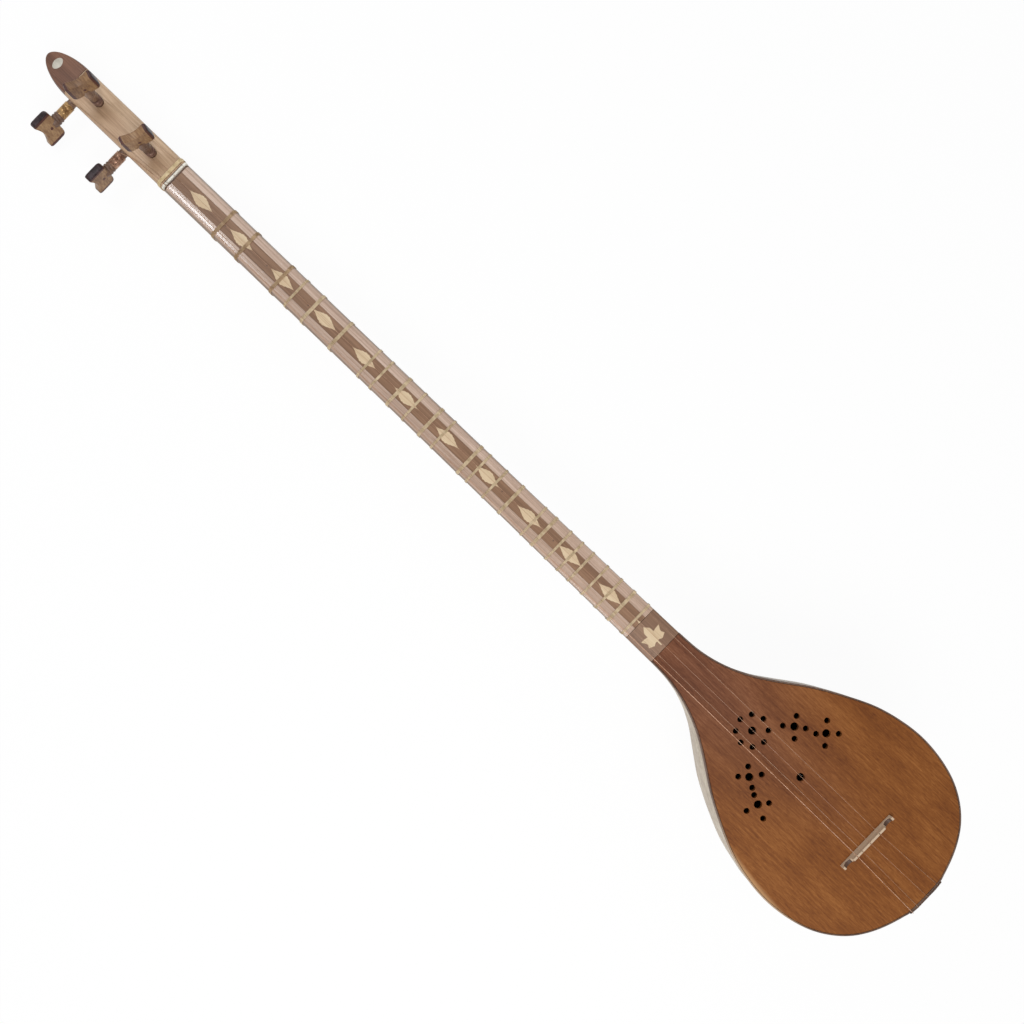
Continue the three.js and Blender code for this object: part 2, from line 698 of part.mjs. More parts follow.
function makeCap() {
  const rows = CAP_STATION_SHARES.map((share) => {
    const size = Math.sqrt(1 - share ** 2);
    const outline = headOutline(0).map((point) => point.clone().multiplyScalar(size));
    return sectionAt(CAP_START + share * CAP_LENGTH, outline);
  });
  const pocket = slab(ovalShape(FIT_GAP), -OVAL_THICKNESS - FIT_GAP, CUT_OVERRUN);
  return cut(loft(rows), pocket);
}

addPiece("head_end_cap", makeCap(), darkWood);
addPiece("head_oval_inlay", slab(ovalShape(0), -OVAL_THICKNESS, 0), bone);

// Fingerboard

const FINGERBOARD_START = -headStart;
const FINGERBOARD_END = -NECK_LENGTH + PANEL_LENGTH + FIT_GAP;

// The fingerboard's half outline at a place, from an inner edge out to the rounded shoulder.
function sideStripSection(x, inner) {
  const share = neckGrowth(-x);
  const flatHalf = mix(FLAT_WIDTH_AT_NUT, FLAT_WIDTH_AT_BODY, share) / 2;
  const halfWidth = mix(NECK_WIDTH_AT_NUT, NECK_WIDTH_AT_BODY, share) / 2;
  const drop = mix(SHOULDER_DROP_AT_NUT, SHOULDER_DROP_AT_BODY, share);
  return [
    [x, inner, 0],
    [x, flatHalf, 0],
    [x, shoulder(flatHalf, halfWidth, drop, FINGERBOARD_THICKNESS), -FINGERBOARD_THICKNESS],
    [x, inner, -FINGERBOARD_THICKNESS],
  ];
}

const mirroredY = (rows) => rows.map((row) => row.map(([x, y, z]) => [x, -y, z]));

const stripEdge = CENTRE_STRIP_WIDTH / 2;
const sideStripRows = neckStations(FINGERBOARD_START, FINGERBOARD_END).map((x) =>
  sideStripSection(x, stripEdge + FIT_GAP),
);
addPiece("fingerboard_side_bass", loft(sideStripRows), paleWood);
addPiece("fingerboard_side_treble", loft(mirroredY(sideStripRows)), paleWood);
addPiece(
  "fingerboard_centre",
  box([FINGERBOARD_END, -stripEdge, -FINGERBOARD_THICKNESS], [FINGERBOARD_START, stripEdge, 0]),
  darkWood,
);

// Half of a lobed leaf, from the tip of its middle lobe to its stalk: shares of its length and half width.
const LEAF_HALF_SHARES = [
  [0.5, 0],
  [0.41, 0.14],
  [0.31, 0.3],
  [0.1, 0.335],
  [0.134, 0.62],
  [0.14, 1],
  [-0.02, 0.8],
  [-0.106, 0.75],
  [-0.243, 0.87],
  [-0.346, 0.45],
  [-0.277, 0.16],
  [-0.29, 0.06],
  [-0.5, 0.05],
];
const PANEL_NUT_END = -NECK_LENGTH + PANEL_LENGTH;
const LEAF_CENTRE = PANEL_NUT_END - PANEL_LENGTH * LEAF_CENTRE_SHARE;

function leafOutline() {
  const half = LEAF_HALF_SHARES.map(
    ([along, across]) => new THREE.Vector2(LEAF_CENTRE + along * LEAF_LENGTH, (across * LEAF_WIDTH) / 2),
  );
  const other = half.slice(1).map((point) => new THREE.Vector2(point.x, -point.y));
  return [...half, ...other.reverse()].map((point) => point.setY(point.y + LEAF_OFFSET));
}

function makePanel() {
  const rows = [PANEL_NUT_END, -NECK_LENGTH].map((x) => {
    const half = sideStripSection(x, 0).slice(1, -1);
    return [...half, ...half.map(([px, y, z]) => [px, -y, z]).reverse()];
  });
  const pocket = new THREE.Shape(offsetOutline(leafOutline(), FIT_GAP));
  return cut(loft(rows), slab(pocket, -LEAF_THICKNESS - FIT_GAP, CUT_OVERRUN));
}

addPiece("leaf_panel", makePanel(), darkWood);
addPiece("leaf_inlay", slab(new THREE.Shape(leafOutline()), -LEAF_THICKNESS, 0), paleWood);

// Nut, hold-down ring and frets

function makeNut() {
  const half = NECK_WIDTH_AT_NUT / 2;
  const low = -FINGERBOARD_THICKNESS;
  const shape = new THREE.Shape();
  shape.moveTo(-half, low);
  shape.lineTo(half, low);
  shape.lineTo(half, NUT_HEIGHT - NUT_END_ROUNDING);
  shape.quadraticCurveTo(half, NUT_HEIGHT, half - NUT_END_ROUNDING, NUT_HEIGHT);
  shape.lineTo(-half + NUT_END_ROUNDING, NUT_HEIGHT);
  shape.quadraticCurveTo(-half, NUT_HEIGHT, -half, NUT_HEIGHT - NUT_END_ROUNDING);
  const blank = bar(new THREE.Shape(shape.getPoints(CURVE_STEPS / 2)), -NUT_THICKNESS / 2, NUT_THICKNESS / 2);
  const notches = STRING_NUT_OFFSETS.map((offset, i) =>
    box(
      [-NUT_THICKNESS, offset - NOTCH_WIDTH / 2, STRING_HEIGHT_AT_NUT - STRING_DIAMETERS[i] / 2 - NOTCH_GAP],
      [NUT_THICKNESS, offset + NOTCH_WIDTH / 2, NUT_HEIGHT + CUT_OVERRUN],
    ),
  );
  return cut(blank, ...notches);
}

addPiece("nut", makeNut(), bone);

const holdRing = ringShape(headOutline(HOLD_RING_LIFT), FIT_GAP, FIT_GAP + RING_THICKNESS);
addPiece(
  "string_hold_ring",
  bar(holdRing, HOLD_RING_DISTANCE - HOLD_RING_WIDTH / 2, HOLD_RING_DISTANCE + HOLD_RING_WIDTH / 2),
  gut,
);

const FRETTED_LENGTH = NECK_LENGTH - PANEL_LENGTH;
const fretPlaces = [
  ...WIDE_FRET_SHARES.map((share) => ({ distance: share * FRETTED_LENGTH, width: WIDE_FRET_WIDTH })),
  ...NARROW_FRET_SHARES.map((share) => ({ distance: share * FRETTED_LENGTH, width: NARROW_FRET_WIDTH })),
].sort((a, b) => a.distance - b.distance);

fretPlaces.forEach(({ distance, width }, i) => {
  const ring = ringShape(neckOutlineAt(distance, 0), FIT_GAP, FIT_GAP + RING_THICKNESS);
  const name = "fret_" + String(i + 1).padStart(2, "0");
  addPiece(name, bar(ring, -distance - width / 2, -distance + width / 2), gut);
});

// Bridge

// The bridge seen along the strings: a top between two hollowed shoulders, and a small lip at each end.
function bridgeShape() {
  const half = BRIDGE_LENGTH / 2;
  const topHalf = BRIDGE_TOP_LENGTH / 2;
  const lipStart = half - BRIDGE_LIP_LENGTH;
  // The curve's handles lie so low that it reaches down to the foot's height.
  const handle = (8 * BRIDGE_FOOT_HEIGHT - BRIDGE_LIP_HEIGHT - BRIDGE_HEIGHT) / 6;
  const shape = new THREE.Shape();
  shape.moveTo(-half, FIT_GAP);
  shape.lineTo(half, FIT_GAP);
  shape.lineTo(half, BRIDGE_LIP_HEIGHT);
  shape.lineTo(lipStart, BRIDGE_LIP_HEIGHT);
  shape.bezierCurveTo(lipStart, handle, topHalf, handle, topHalf, BRIDGE_HEIGHT);
  shape.lineTo(-topHalf, BRIDGE_HEIGHT);
  shape.bezierCurveTo(-topHalf, handle, -lipStart, handle, -lipStart, BRIDGE_LIP_HEIGHT);
  shape.lineTo(-half, BRIDGE_LIP_HEIGHT);
  const points = shape.getPoints(CURVE_STEPS);
  return new THREE.Shape(points.map((point) => point.setX(point.x + BRIDGE_OFFSET)));
}

function makeBridge() {
  const foot = BRIDGE_FOOT_THICKNESS / 2;
  const top = BRIDGE_TOP_THICKNESS / 2;
  const blank = bar(bridgeShape(), -SCALE_LENGTH - foot, -SCALE_LENGTH + foot);
  const wedgeRows = [-BRIDGE_LENGTH, BRIDGE_LENGTH].map((y) => [
    [-SCALE_LENGTH - foot, y, 0],
    [-SCALE_LENGTH + foot, y, 0],
    [-SCALE_LENGTH + top, y, BRIDGE_HEIGHT],
    [-SCALE_LENGTH - top, y, BRIDGE_HEIGHT],
  ]);
  const notches = STRING_BRIDGE_OFFSETS.map((offset, i) =>
    box(
      [
        -SCALE_LENGTH - BRIDGE_FOOT_THICKNESS,
        offset - NOTCH_WIDTH / 2,
        STRING_HEIGHT_AT_BRIDGE - STRING_DIAMETERS[i] / 2 - NOTCH_GAP,
      ],
      [-SCALE_LENGTH + BRIDGE_FOOT_THICKNESS, offset + NOTCH_WIDTH / 2, BRIDGE_HEIGHT + CUT_OVERRUN],
    ),
  );
  return cut(common(blank, loft(wedgeRows)), ...notches);
}

addPiece("bridge", makeBridge(), bridgeWood);

// Tailpiece

const TAILPIECE_FACE = BODY_END - FIT_GAP - TAILPIECE_THICKNESS; // its outer face

function roundedBar(halfWidth, low, high, rounding) {
  const shape = new THREE.Shape();
  shape.moveTo(-halfWidth, high);
  shape.lineTo(-halfWidth, low + rounding);
  shape.quadraticCurveTo(-halfWidth, low, -halfWidth + rounding, low);
  shape.lineTo(halfWidth - rounding, low);
  shape.quadraticCurveTo(halfWidth, low, halfWidth, low + rounding);
  shape.lineTo(halfWidth, high);
  return new THREE.Shape(shape.getPoints(CURVE_STEPS / 2));
}

function tailPin(offset) {
  const pin = new THREE.CylinderGeometry(
    TAIL_PIN_DIAMETER / 2,
    TAIL_PIN_DIAMETER / 2,
    TAIL_PIN_LENGTH + TAILPIECE_THICKNESS / 2,
    HOLE_SIDES,
  );
  pin.rotateZ(Math.PI / 2);
  const middle = TAILPIECE_FACE + TAILPIECE_THICKNESS / 4 - TAIL_PIN_LENGTH / 2;
  return pin.translate(middle, offset, -TAIL_PIN_DROP);
}

function makeTailpiece() {
  const low = TAILPIECE_RISE - TAILPIECE_HEIGHT;
  const plate = bar(
    roundedBar(TAIL_WIDTH / 2, low, TAILPIECE_RISE, TAILPIECE_ROUNDING),
    TAILPIECE_FACE,
    TAILPIECE_FACE + TAILPIECE_THICKNESS,
  );
  return joined(plate, ...STRING_TAIL_OFFSETS.map(tailPin));
}

addPiece("tailpiece", makeTailpiece(), darkWood);

// Pegs

function pegShaft(inside) {
  const inset = inside - PEG_END_INSET;
  const beadMiddle = PEG_BEAD_DISTANCE + PEG_BEAD_LENGTH / 2;
  const profile = [
    [0, -inset],
    [pegRadiusAt(-inset), -inset],
    [pegRadiusAt(0), 0],
    [pegRadiusAt(PEG_BEAD_DISTANCE), PEG_BEAD_DISTANCE],
    [PEG_BEAD_DIAMETER / 2, beadMiddle],
    [pegRadiusAt(PEG_BEAD_DISTANCE), PEG_BEAD_DISTANCE + PEG_BEAD_LENGTH],
    [pegRadiusAt(PEG_LENGTH), PEG_LENGTH],
    [pegRadiusAt(PEG_LENGTH), PEG_LENGTH + KNOB_HEIGHT / 3],
    [0, PEG_LENGTH + KNOB_HEIGHT / 3],
  ].map(([radius, out]) => new THREE.Vector2(radius, out));
  return new THREE.LatheGeometry(profile, PEG_SIDES).rotateX(Math.PI / 2);
}

// The knob seen on its broad face: rounded ears beside a hollowed outer end.
function knobShape() {
  const half = KNOB_WIDTH / 2 - KNOB_EDGE_ROUNDING;
  const low = PEG_LENGTH + KNOB_EDGE_ROUNDING;
  const high = PEG_LENGTH + KNOB_HEIGHT - KNOB_EDGE_ROUNDING;
  const round = KNOB_ROUNDING;
  const shape = new THREE.Shape();
  shape.moveTo(-half + round, low);
  shape.lineTo(half - round, low);
  shape.quadraticCurveTo(half, low, half, low + round);
  shape.lineTo(half, high - round);
  shape.quadraticCurveTo(half, high, half - round, high);
  shape.quadraticCurveTo(0, high - 2 * KNOB_HOLLOW, -half + round, high);
  shape.quadraticCurveTo(-half, high, -half, high - round);
  shape.lineTo(-half, low + round);
  shape.quadraticCurveTo(-half, low, -half + round, low);
  return new THREE.Shape(shape.getPoints(CURVE_STEPS / 2));
}

function makePeg(place) {
  const thickness = KNOB_THICKNESS - 2 * KNOB_EDGE_ROUNDING;
  const knob = new THREE.ExtrudeGeometry(knobShape(), {
    depth: thickness,
    bevelThickness: KNOB_EDGE_ROUNDING,
    bevelSize: KNOB_EDGE_ROUNDING,
    bevelSegments: 1,
  });
  knob.translate(0, 0, -thickness / 2).rotateX(Math.PI / 2);
  const peg = joined(pegShaft(place.inside), knob);
  return placed(peg.rotateZ(place.knobTurn), place);
}

for (const place of pegPlaces) addPiece(place.name, makePeg(place), pegWood);

// Strings

const stringNames = ["string_bass", "string_second", "string_third", "string_first"];
const stringPegs = ["peg_side_lower", "peg_side_upper", "peg_front_lower", "peg_front_upper"];
const SHOULDER_CLEARANCE = 0.9; // of a string's middle from the head's rounded shoulder
const SHOULDER_LEAD = 13; // how far before its side peg a string crosses the shoulder

// Loops round a peg, from where the string meets it. The vectors give the first point's direction from the
// axis, the string's direction there, and the way the loops climb.
function windingPoints(centre, radius, first, towards, climb, diameter) {
  const points = [];
  const count = WINDING_LOOPS * WINDING_STEPS;
  for (let i = 0; i <= count; i++) {
    const turn = (2 * Math.PI * i) / WINDING_STEPS;
    const point = centre.clone().addScaledVector(first, Math.cos(turn) * radius);
    point.addScaledVector(towards, Math.sin(turn) * radius);
    points.push(point.addScaledVector(climb, (WINDING_PITCH * i) / WINDING_STEPS));
  }
  return [...points, points[count].clone().addScaledVector(towards, diameter)];
}

// The least free distance between a winding's loops.
function leastGap(points, diameter) {
  let least = Infinity;
  points.forEach((point, i) => {
    for (let j = i + Math.ceil(WINDING_STEPS / 2); j < points.length; j++) {
      least = Math.min(least, point.distanceTo(points[j]) - diameter);
    }
  });
  return least;
}

function stringRoute(i) {
  const diameter = STRING_DIAMETERS[i];
  const place = pegPlaces.find((candidate) => candidate.name === stringPegs[i]);
  const onSide = place.name.startsWith("peg_side");
  const out = new THREE.Vector3(0, 0, 1).applyEuler(place.tip);
  const windingEnd = WINDING_START + WINDING_LOOPS * WINDING_PITCH;
  const radius = pegRadiusAt(windingEnd) + FIT_GAP + diameter / 2;
  const sideOfPeg = Math.sign(STRING_NUT_OFFSETS[i]);
  const first = onSide ? new THREE.Vector3(0, 0, 1) : new THREE.Vector3(0, sideOfPeg, 0);
  const centre = place.at.clone().addScaledVector(out, WINDING_START);
  const winding = windingPoints(centre, radius, first, new THREE.Vector3(1, 0, 0), out, diameter);
  console.log(stringNames[i], "least gap in its winding", leastGap(winding, diameter).toFixed(2), "mm");
  const face = diameter / 2 + FIT_GAP;
  const nutOffset = STRING_NUT_OFFSETS[i];
  const overShoulder = new THREE.Vector3(
    place.at.x - SHOULDER_LEAD,
    HEAD_FLAT_WIDTH / 2 + SHOULDER_CLEARANCE,
    FIT_GAP + diameter / 2,
  );
  const tailTop = TAILPIECE_RISE + face;
  return [
    ...winding.reverse(),
    ...(onSide ? [overShoulder] : []),
    new THREE.Vector3(HOLD_RING_DISTANCE, nutOffset, face),
    new THREE.Vector3(0, nutOffset, STRING_HEIGHT_AT_NUT),
    new THREE.Vector3(-SCALE_LENGTH, STRING_BRIDGE_OFFSETS[i], STRING_HEIGHT_AT_BRIDGE),
    new THREE.Vector3(TAILPIECE_FACE + TAILPIECE_THICKNESS, STRING_TAIL_OFFSETS[i], tailTop),
    new THREE.Vector3(TAILPIECE_FACE, STRING_TAIL_OFFSETS[i], tailTop),
    new THREE.Vector3(TAILPIECE_FACE - face, STRING_TAIL_OFFSETS[i], TAILPIECE_RISE),
    new THREE.Vector3(
      TAILPIECE_FACE - face,
      STRING_TAIL_OFFSETS[i],
      -TAIL_PIN_DROP + TAIL_PIN_DIAMETER / 2 + FIT_GAP,
    ),
  ];
}

stringNames.forEach((name, i) => {
  addPiece(name, tube(stringRoute(i), STRING_DIAMETERS[i]), i === 0 || i === 2 ? brass : steel);
});

// Lay the instrument down: turned until its keel and head touch the ground, and centred over the origin.
instrument.rotation.y = restAngle;
const bounds = new THREE.Box3().setFromObject(instrument, true);
const middle = bounds.getCenter(new THREE.Vector3());
instrument.position.set(-middle.x, -middle.y, -bounds.min.z);

export default instrument;
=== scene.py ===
"""A setar lying at rest, dressed for the camera. Lengths in code are millimetres on the level instrument."""

import json
import math

import bmesh
import bpy
from mathutils import Matrix, Vector


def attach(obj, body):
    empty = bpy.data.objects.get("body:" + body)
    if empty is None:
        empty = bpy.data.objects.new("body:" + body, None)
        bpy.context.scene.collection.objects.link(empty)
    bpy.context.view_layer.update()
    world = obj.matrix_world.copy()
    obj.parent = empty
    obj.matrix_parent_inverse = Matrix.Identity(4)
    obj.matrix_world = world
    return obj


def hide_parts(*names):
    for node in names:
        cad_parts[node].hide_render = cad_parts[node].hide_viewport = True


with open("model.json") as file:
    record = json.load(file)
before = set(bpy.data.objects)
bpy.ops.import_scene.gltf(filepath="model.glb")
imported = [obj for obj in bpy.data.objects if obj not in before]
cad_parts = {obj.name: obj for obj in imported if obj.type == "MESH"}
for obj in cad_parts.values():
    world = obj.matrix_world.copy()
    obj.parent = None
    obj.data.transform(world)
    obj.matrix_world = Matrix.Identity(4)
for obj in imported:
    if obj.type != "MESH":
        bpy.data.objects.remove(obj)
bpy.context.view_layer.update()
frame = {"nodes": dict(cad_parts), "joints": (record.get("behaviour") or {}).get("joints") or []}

bl_info = {
    "name": "Setar",
    "version": (1, 0, 0),
    "blender": (4, 5, 0),
    "location": "View3D > Sidebar > Setar",
    "description": "Builds a long-necked lute with tied frets on its packed frame",
    "category": "Object",
}

MM = 0.001

# The level instrument: x along the strings to the head, y to the side pegs, z out of the soundboard.


def joint(name):
    return next(j for j in frame["joints"] if j["name"] == name)


ALONG = Vector(joint("bridge_slide")["axis"]).normalized()
ACROSS = Vector((0, 1, 0))
OUTWARD = ALONG.cross(ACROSS)
TURN = Matrix((ALONG, ACROSS, OUTWARD)).transposed()
TILT = math.atan2(-ALONG.z, ALONG.x)
FRONT_PEG_PLACE = Vector((22.2, -0.4, 0))
ORIGIN = Vector(joint("peg_front_lower_turn")["pos_m"]) - TURN @ (FRONT_PEG_PLACE * MM)
TO_ROW = Matrix.Translation(ORIGIN) @ TURN.to_4x4() @ Matrix.Scale(MM, 4)
TO_LEVEL = TO_ROW.inverted()

# Sizes shared with the solids
NECK_LENGTH = 473.6
BODY_START = -473.9
BODY_LENGTH = 250.9
BODY_END = BODY_START - BODY_LENGTH
SCALE_LENGTH = 668.4
BOARD_THICKNESS = 2.5
FINGERBOARD_THICKNESS = 1.8
SHAFT_TOP = 2.1
HEAD_START = 1.25
HEAD_LENGTH = 95.6
CAP_START = 95.9
CAP_LENGTH = 26.6
PANEL_LENGTH = 24
FINGERBOARD_END = -NECK_LENGTH + PANEL_LENGTH + 0.3
CENTRE_STRIP_WIDTH = 10.2
NUT_HEIGHT = 1.5
BRIDGE_OFFSET = 0.8
BRIDGE_HEIGHT = 5.4
TAILPIECE_THICKNESS = 1.3
TAILPIECE_FACE = BODY_END - 0.3 - TAILPIECE_THICKNESS
PIN_HEIGHT = -5.2
RIB_COUNT = 11
FRET_COUNT = 25
KEEL_SHARE = 5 / 11
PEG_RADIUS_AT_FACE = 3.1
STRING_NAMES = ["string_bass", "string_second", "string_third", "string_first"]
STRING_PEGS = ["peg_side_lower", "peg_side_upper", "peg_front_lower", "peg_front_upper"]
STRING_NUT_OFFSETS = [9.2, 7.1, 0.2, -8.7]
STRING_BRIDGE_OFFSETS = [12.7, 7.7, 0, -9.1]
STRING_TAIL_OFFSETS = [13.9, 8.4, -1.2, -12]
STRING_DIAMETERS = [0.4, 0.22, 0.22, 0.2]
STRING_HEIGHT_AT_NUT = 1.3
STRING_HEIGHT_AT_BRIDGE = 5.2

# Places and shapes that only this script has
LOZENGE_PLACES = [-25.6, -64.4, -104.1, -144.8, -183.1, -223.4, -263, -302.1, -342.3, -381.6, -420.2, -457.5]
LOZENGE_HALF_LENGTH = 12
DOT_PLACES = [-49.8, -89.8, -129.6, -316.7, -366.1]
DOT_RADIUS = 0.6
KNOB_TURNS = {"peg_front_lower": 70, "peg_front_upper": 70, "peg_side_lower": -90, "peg_side_upper": -72}
KNOB_START = 17.4
KNOB_END = 32.0
EAR_LINE = 8.1
EAR_START = 9.6
FLAT_RIB = 6
REST_STATIONS = {9, 10}  # the bowl is flat between them, where it rests
STATION_CREASE = 0.33
SEAM_OVERLAP = 0.09
SHARP_CORNER = math.radians(48)
STAVE_TONES = [0.1, 0.75, 0.3, 0.9, 0.2, 0.6, 0.15, 0.85, 0.35, 0.7, 0.25]


def mix(a, b, share):
    return a + (b - a) * share


# Meshes


def level_copy(name):
    """A merged copy of a CAD node's mesh, on the level instrument."""
    bm = bmesh.new()
    bm.from_mesh(frame["nodes"][name].data)
    bm.transform(TO_LEVEL)
    bmesh.ops.remove_doubles(bm, verts=bm.verts, dist=0.001)
    bm.normal_update()
    return bm


def face_loops(name):
    """The closed outlines of a CAD node's upper face, each anticlockwise, the longest first."""
    bm = level_copy(name)
    left = [edge for edge in bm.edges if [face.normal.z > 0.99 for face in edge.link_faces].count(True) == 1]
    loops = []
    while left:
        edge = left.pop(0)
        start, here = edge.verts
        loop = [start.co.copy()]
        while here != start:
            loop.append(here.co.copy())
            edge = next(e for e in here.link_edges if e in left)
            left.remove(edge)
            here = edge.other_vert(here)
        area = sum(a.x * b.y - b.x * a.y for a, b in zip(loop, loop[1:] + loop[:1]))
        loops.append(loop if area > 0 else loop[::-1])
    bm.free()
    return sorted(loops, key=lambda loop: -max(p.x for p in loop) + min(p.x for p in loop))


def partners(vert):
    return [edge.other_vert(vert) for edge in vert.link_edges]


def loft(sections):
    """A bmesh through sections of equally many points, by extruding the first outline to each next one."""
    bm = bmesh.new()
    around = bm.verts.layers.int.new("around")
    ring = bmesh.ops.create_circle(bm, cap_ends=True, segments=len(sections[0]), radius=1)["verts"]
    for number, (vert, point) in enumerate(zip(ring, sections[0])):
        vert.co = point
        vert[around] = number
    end = list(bm.faces)
    for section in sections[1:]:
        made = bmesh.ops.extrude_face_region(bm, geom=end)["geom"]
        if section is not sections[1]:
            bmesh.ops.delete(bm, geom=end, context="FACES_ONLY")
        end = [item for item in made if isinstance(item, bmesh.types.BMFace)]
        corners = set(end[0].verts)
        ring = [next(v for v in partners(vert) if v in corners) for vert in ring]
        for vert, point in zip(ring, section):
            vert.co = point
    turn_outward(bm)
    return bm


def turn_outward(bm):
    """Make all faces of a closed shape look out of it."""
    bm.normal_update()
    bmesh.ops.recalc_face_normals(bm, faces=bm.faces)
    bm.normal_update()
    if bm.calc_volume(signed=True) < 0:
        bmesh.ops.reverse_faces(bm, faces=bm.faces)


def at(x, outline):
    return [(x, y, z) for y, z in outline]


def slab(outline, start, end):
    """A plate with an outline in y and z, between two places along the instrument."""
    return loft([at(start, outline), at(end, outline)])


def soften(bm, edges, offset, segments):
    bmesh.ops.bevel(
        bm, geom=list(edges), offset=offset, segments=segments, affect="EDGES", profile=0.5, material=-1
    )


def mesh_from(bm, name, sharp_degrees=35):
    mesh = bpy.data.meshes.new(name)
    bm.to_mesh(mesh)
    bm.free()
    mesh.shade_smooth()
    mesh.set_sharp_from_angle(angle=math.radians(sharp_degrees))
    return mesh


def placed(name, data):
    obj = bpy.data.objects.new(name, data)
    bpy.context.scene.collection.objects.link(obj)
    return obj


def make_piece(name, mesh, looks, slot, *nodes, body="instrument"):
    """A finished mesh on the level instrument becomes a piece that rides on a body."""
    obj = placed(name, mesh)
    mesh.transform(TO_ROW)
    for look in looks.split():
        mesh.materials.append(FINISHES[look].material)
    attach(obj, body)
    if nodes:
        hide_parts(*nodes)
    return obj


def new_curve(name, dimensions, bevel, routes):
    """A curve of straight runs. Each route is its points and whether it closes on itself."""
    curve = bpy.data.curves.new(name, "CURVE")
    curve.dimensions = dimensions
    curve.bevel_depth = bevel
    curve.bevel_resolution = 1
    for points, cyclic in routes:
        spline = curve.splines.new("POLY")
        spline.points.add(len(points) - 1)
        for target, point in zip(spline.points, points):
            target.co = (*point, 1)
        spline.use_cyclic_u = cyclic
    return curve


def curve_to_mesh(curve):
    obj = placed(curve.name, curve)
    made = bpy.data.meshes.new_from_object(obj.evaluated_get(bpy.context.evaluated_depsgraph_get()))
    name = curve.name
    bpy.data.objects.remove(obj)
    bpy.data.curves.remove(curve)
    bm = bmesh.new()
    bm.from_mesh(made)
    bpy.data.meshes.remove(made)
    bmesh.ops.remove_doubles(bm, verts=bm.verts, dist=0.002)
    bmesh.ops.recalc_face_normals(bm, faces=bm.faces)
    return mesh_from(bm, name, 50)


def tube_mesh(name, routes, radius):
    """A mesh of round tubes along routes."""
    curve = new_curve(name, "3D", radius, routes)
    curve.use_fill_caps = True
    return curve_to_mesh(curve)


def flat_mesh(name, outlines, low, high, bevel=0.0):
    """A flat shape of smooth closed outlines in x and y, between two heights, with softened edges."""
    curve = new_curve(name, "2D", bevel, [([(p[0], p[1], 0) for p in points], True) for points in outlines])
    curve.fill_mode = "BOTH"
    curve.extrude = (high - low) / 2 - bevel
    curve.offset = -bevel
    mesh = curve_to_mesh(curve)
    mesh.transform(Matrix.Translation((0, 0, (low + high) / 2)))
    return mesh


def smooth_outline(points, steps=5, corner_degrees=35):
    """A closed outline made smooth through its points, but straight at its corners."""
    count = len(points)
    flat = [Vector((p[0], p[1])) for p in points]

    def is_corner(i):
        turn = (flat[i] - flat[i - 1]).angle(flat[(i + 1) % count] - flat[i])
        return turn > math.radians(corner_degrees)

    corners = [is_corner(i) for i in range(count)]
    result = []
    for i in range(count):
        a, b = flat[i], flat[(i + 1) % count]
        before = a - (b - a) if corners[i] else flat[i - 1]
        after = b + (b - a) if corners[(i + 1) % count] else flat[(i + 2) % count]
        for k in range(steps):
            result.append(spline_point(before, a, b, after, k / steps))
    return result


def spline_point(before, a, b, after, share):
    """A point between a and b on the smooth curve through four points, without overshoot."""
    first = math.sqrt((a - before).length)
    second = math.sqrt((b - a).length)
    third = math.sqrt((after - b).length)
    leave = (a - before) / first - (b - before) / (first + second) + (b - a) / second
    arrive = (b - a) / second - (after - a) / (second + third) + (after - b) / third
    square = share * share
    cube = square * share
    return (
        a * (2 * cube - 3 * square + 1)
        + leave * second * (cube - 2 * square + share)
        + b * (3 * square - 2 * cube)
        + arrive * second * (cube - square)
    )


def joined(shapes):
    """Several bmeshes as one."""
    whole = bmesh.new()
    for shape in shapes:
        part = bpy.data.meshes.new("part")
        shape.to_mesh(part)
        shape.free()
        whole.from_mesh(part)
        bpy.data.meshes.remove(part)
    return whole


def cut_out(bm, cutters):
    """The shape with the cutters' shapes taken away."""
    tool_shape = joined(cutters)
    bmesh.ops.recalc_face_normals(tool_shape, faces=tool_shape.faces)
    base, tool = (placed("cut", mesh_from(shape, "cut")) for shape in (bm, tool_shape))
    modifier = base.modifiers.new("cut", "BOOLEAN")
    modifier.operation = "DIFFERENCE"
    modifier.solver = "EXACT"
    modifier.object = tool
    done = bpy.data.meshes.new_from_object(base.evaluated_get(bpy.context.evaluated_depsgraph_get()))
    result = bmesh.new()
    result.from_mesh(done)
    for mesh in (base.data, tool.data, done):
        bpy.data.meshes.remove(mesh)
    return result


def notch_cutters(x, offsets, height, string_height, spare, length, width):
    """Blocks that cut the strings' notches into the top of the nut or the bridge."""
    cutters = []
    for offset, diameter in zip(offsets, STRING_DIAMETERS):
        depth = height - string_height + diameter / 2 + spare
        notch = bmesh.new()
        bmesh.ops.create_cube(notch, size=1)
        bmesh.ops.scale(notch, vec=(length, width, 2 * depth), verts=notch.verts)
        bmesh.ops.translate(notch, vec=(x, offset, height), verts=notch.verts)
        cutters.append(notch)
    return cutters


# Neck sections


def half_outline(flat_half, half_width, depth, drop, under):
    """Half of a neck section, from its flat top at a depth under the face down to its middle line."""
    points = []
    start = math.acos(1 - under / drop)
    for k in range(7):
        turn = mix(start, math.pi / 2, k / 6)
        points.append((flat_half + (half_width - flat_half) * math.sin(turn), -drop * (1 - math.cos(turn))))
    for k in range(1, 13):
        turn = math.pi * k / 24
        height = min(math.sin(turn), math.sin(math.pi * KEEL_SHARE))
        points.append((half_width * math.cos(turn), -drop - (depth - drop) * height))
    return points


def mirrored(half):
    """An outline of y and z, with its other half when the first ends on the middle line."""
    return half + [(-y, z) for y, z in reversed(half[:-1])]


def neck_sizes(x):
    """Half the flat and half the whole width of the neck at a place, its depth and its shoulders' drop."""
    share = max(-x / NECK_LENGTH, 0) ** 2.2
    return mix(9.5, 13.2, share), mix(12.2, 14.15, share), mix(21, 26, share), mix(4, 2.8, share)


def neck_outline(x, under):
    return mirrored(half_outline(*neck_sizes(x), under))


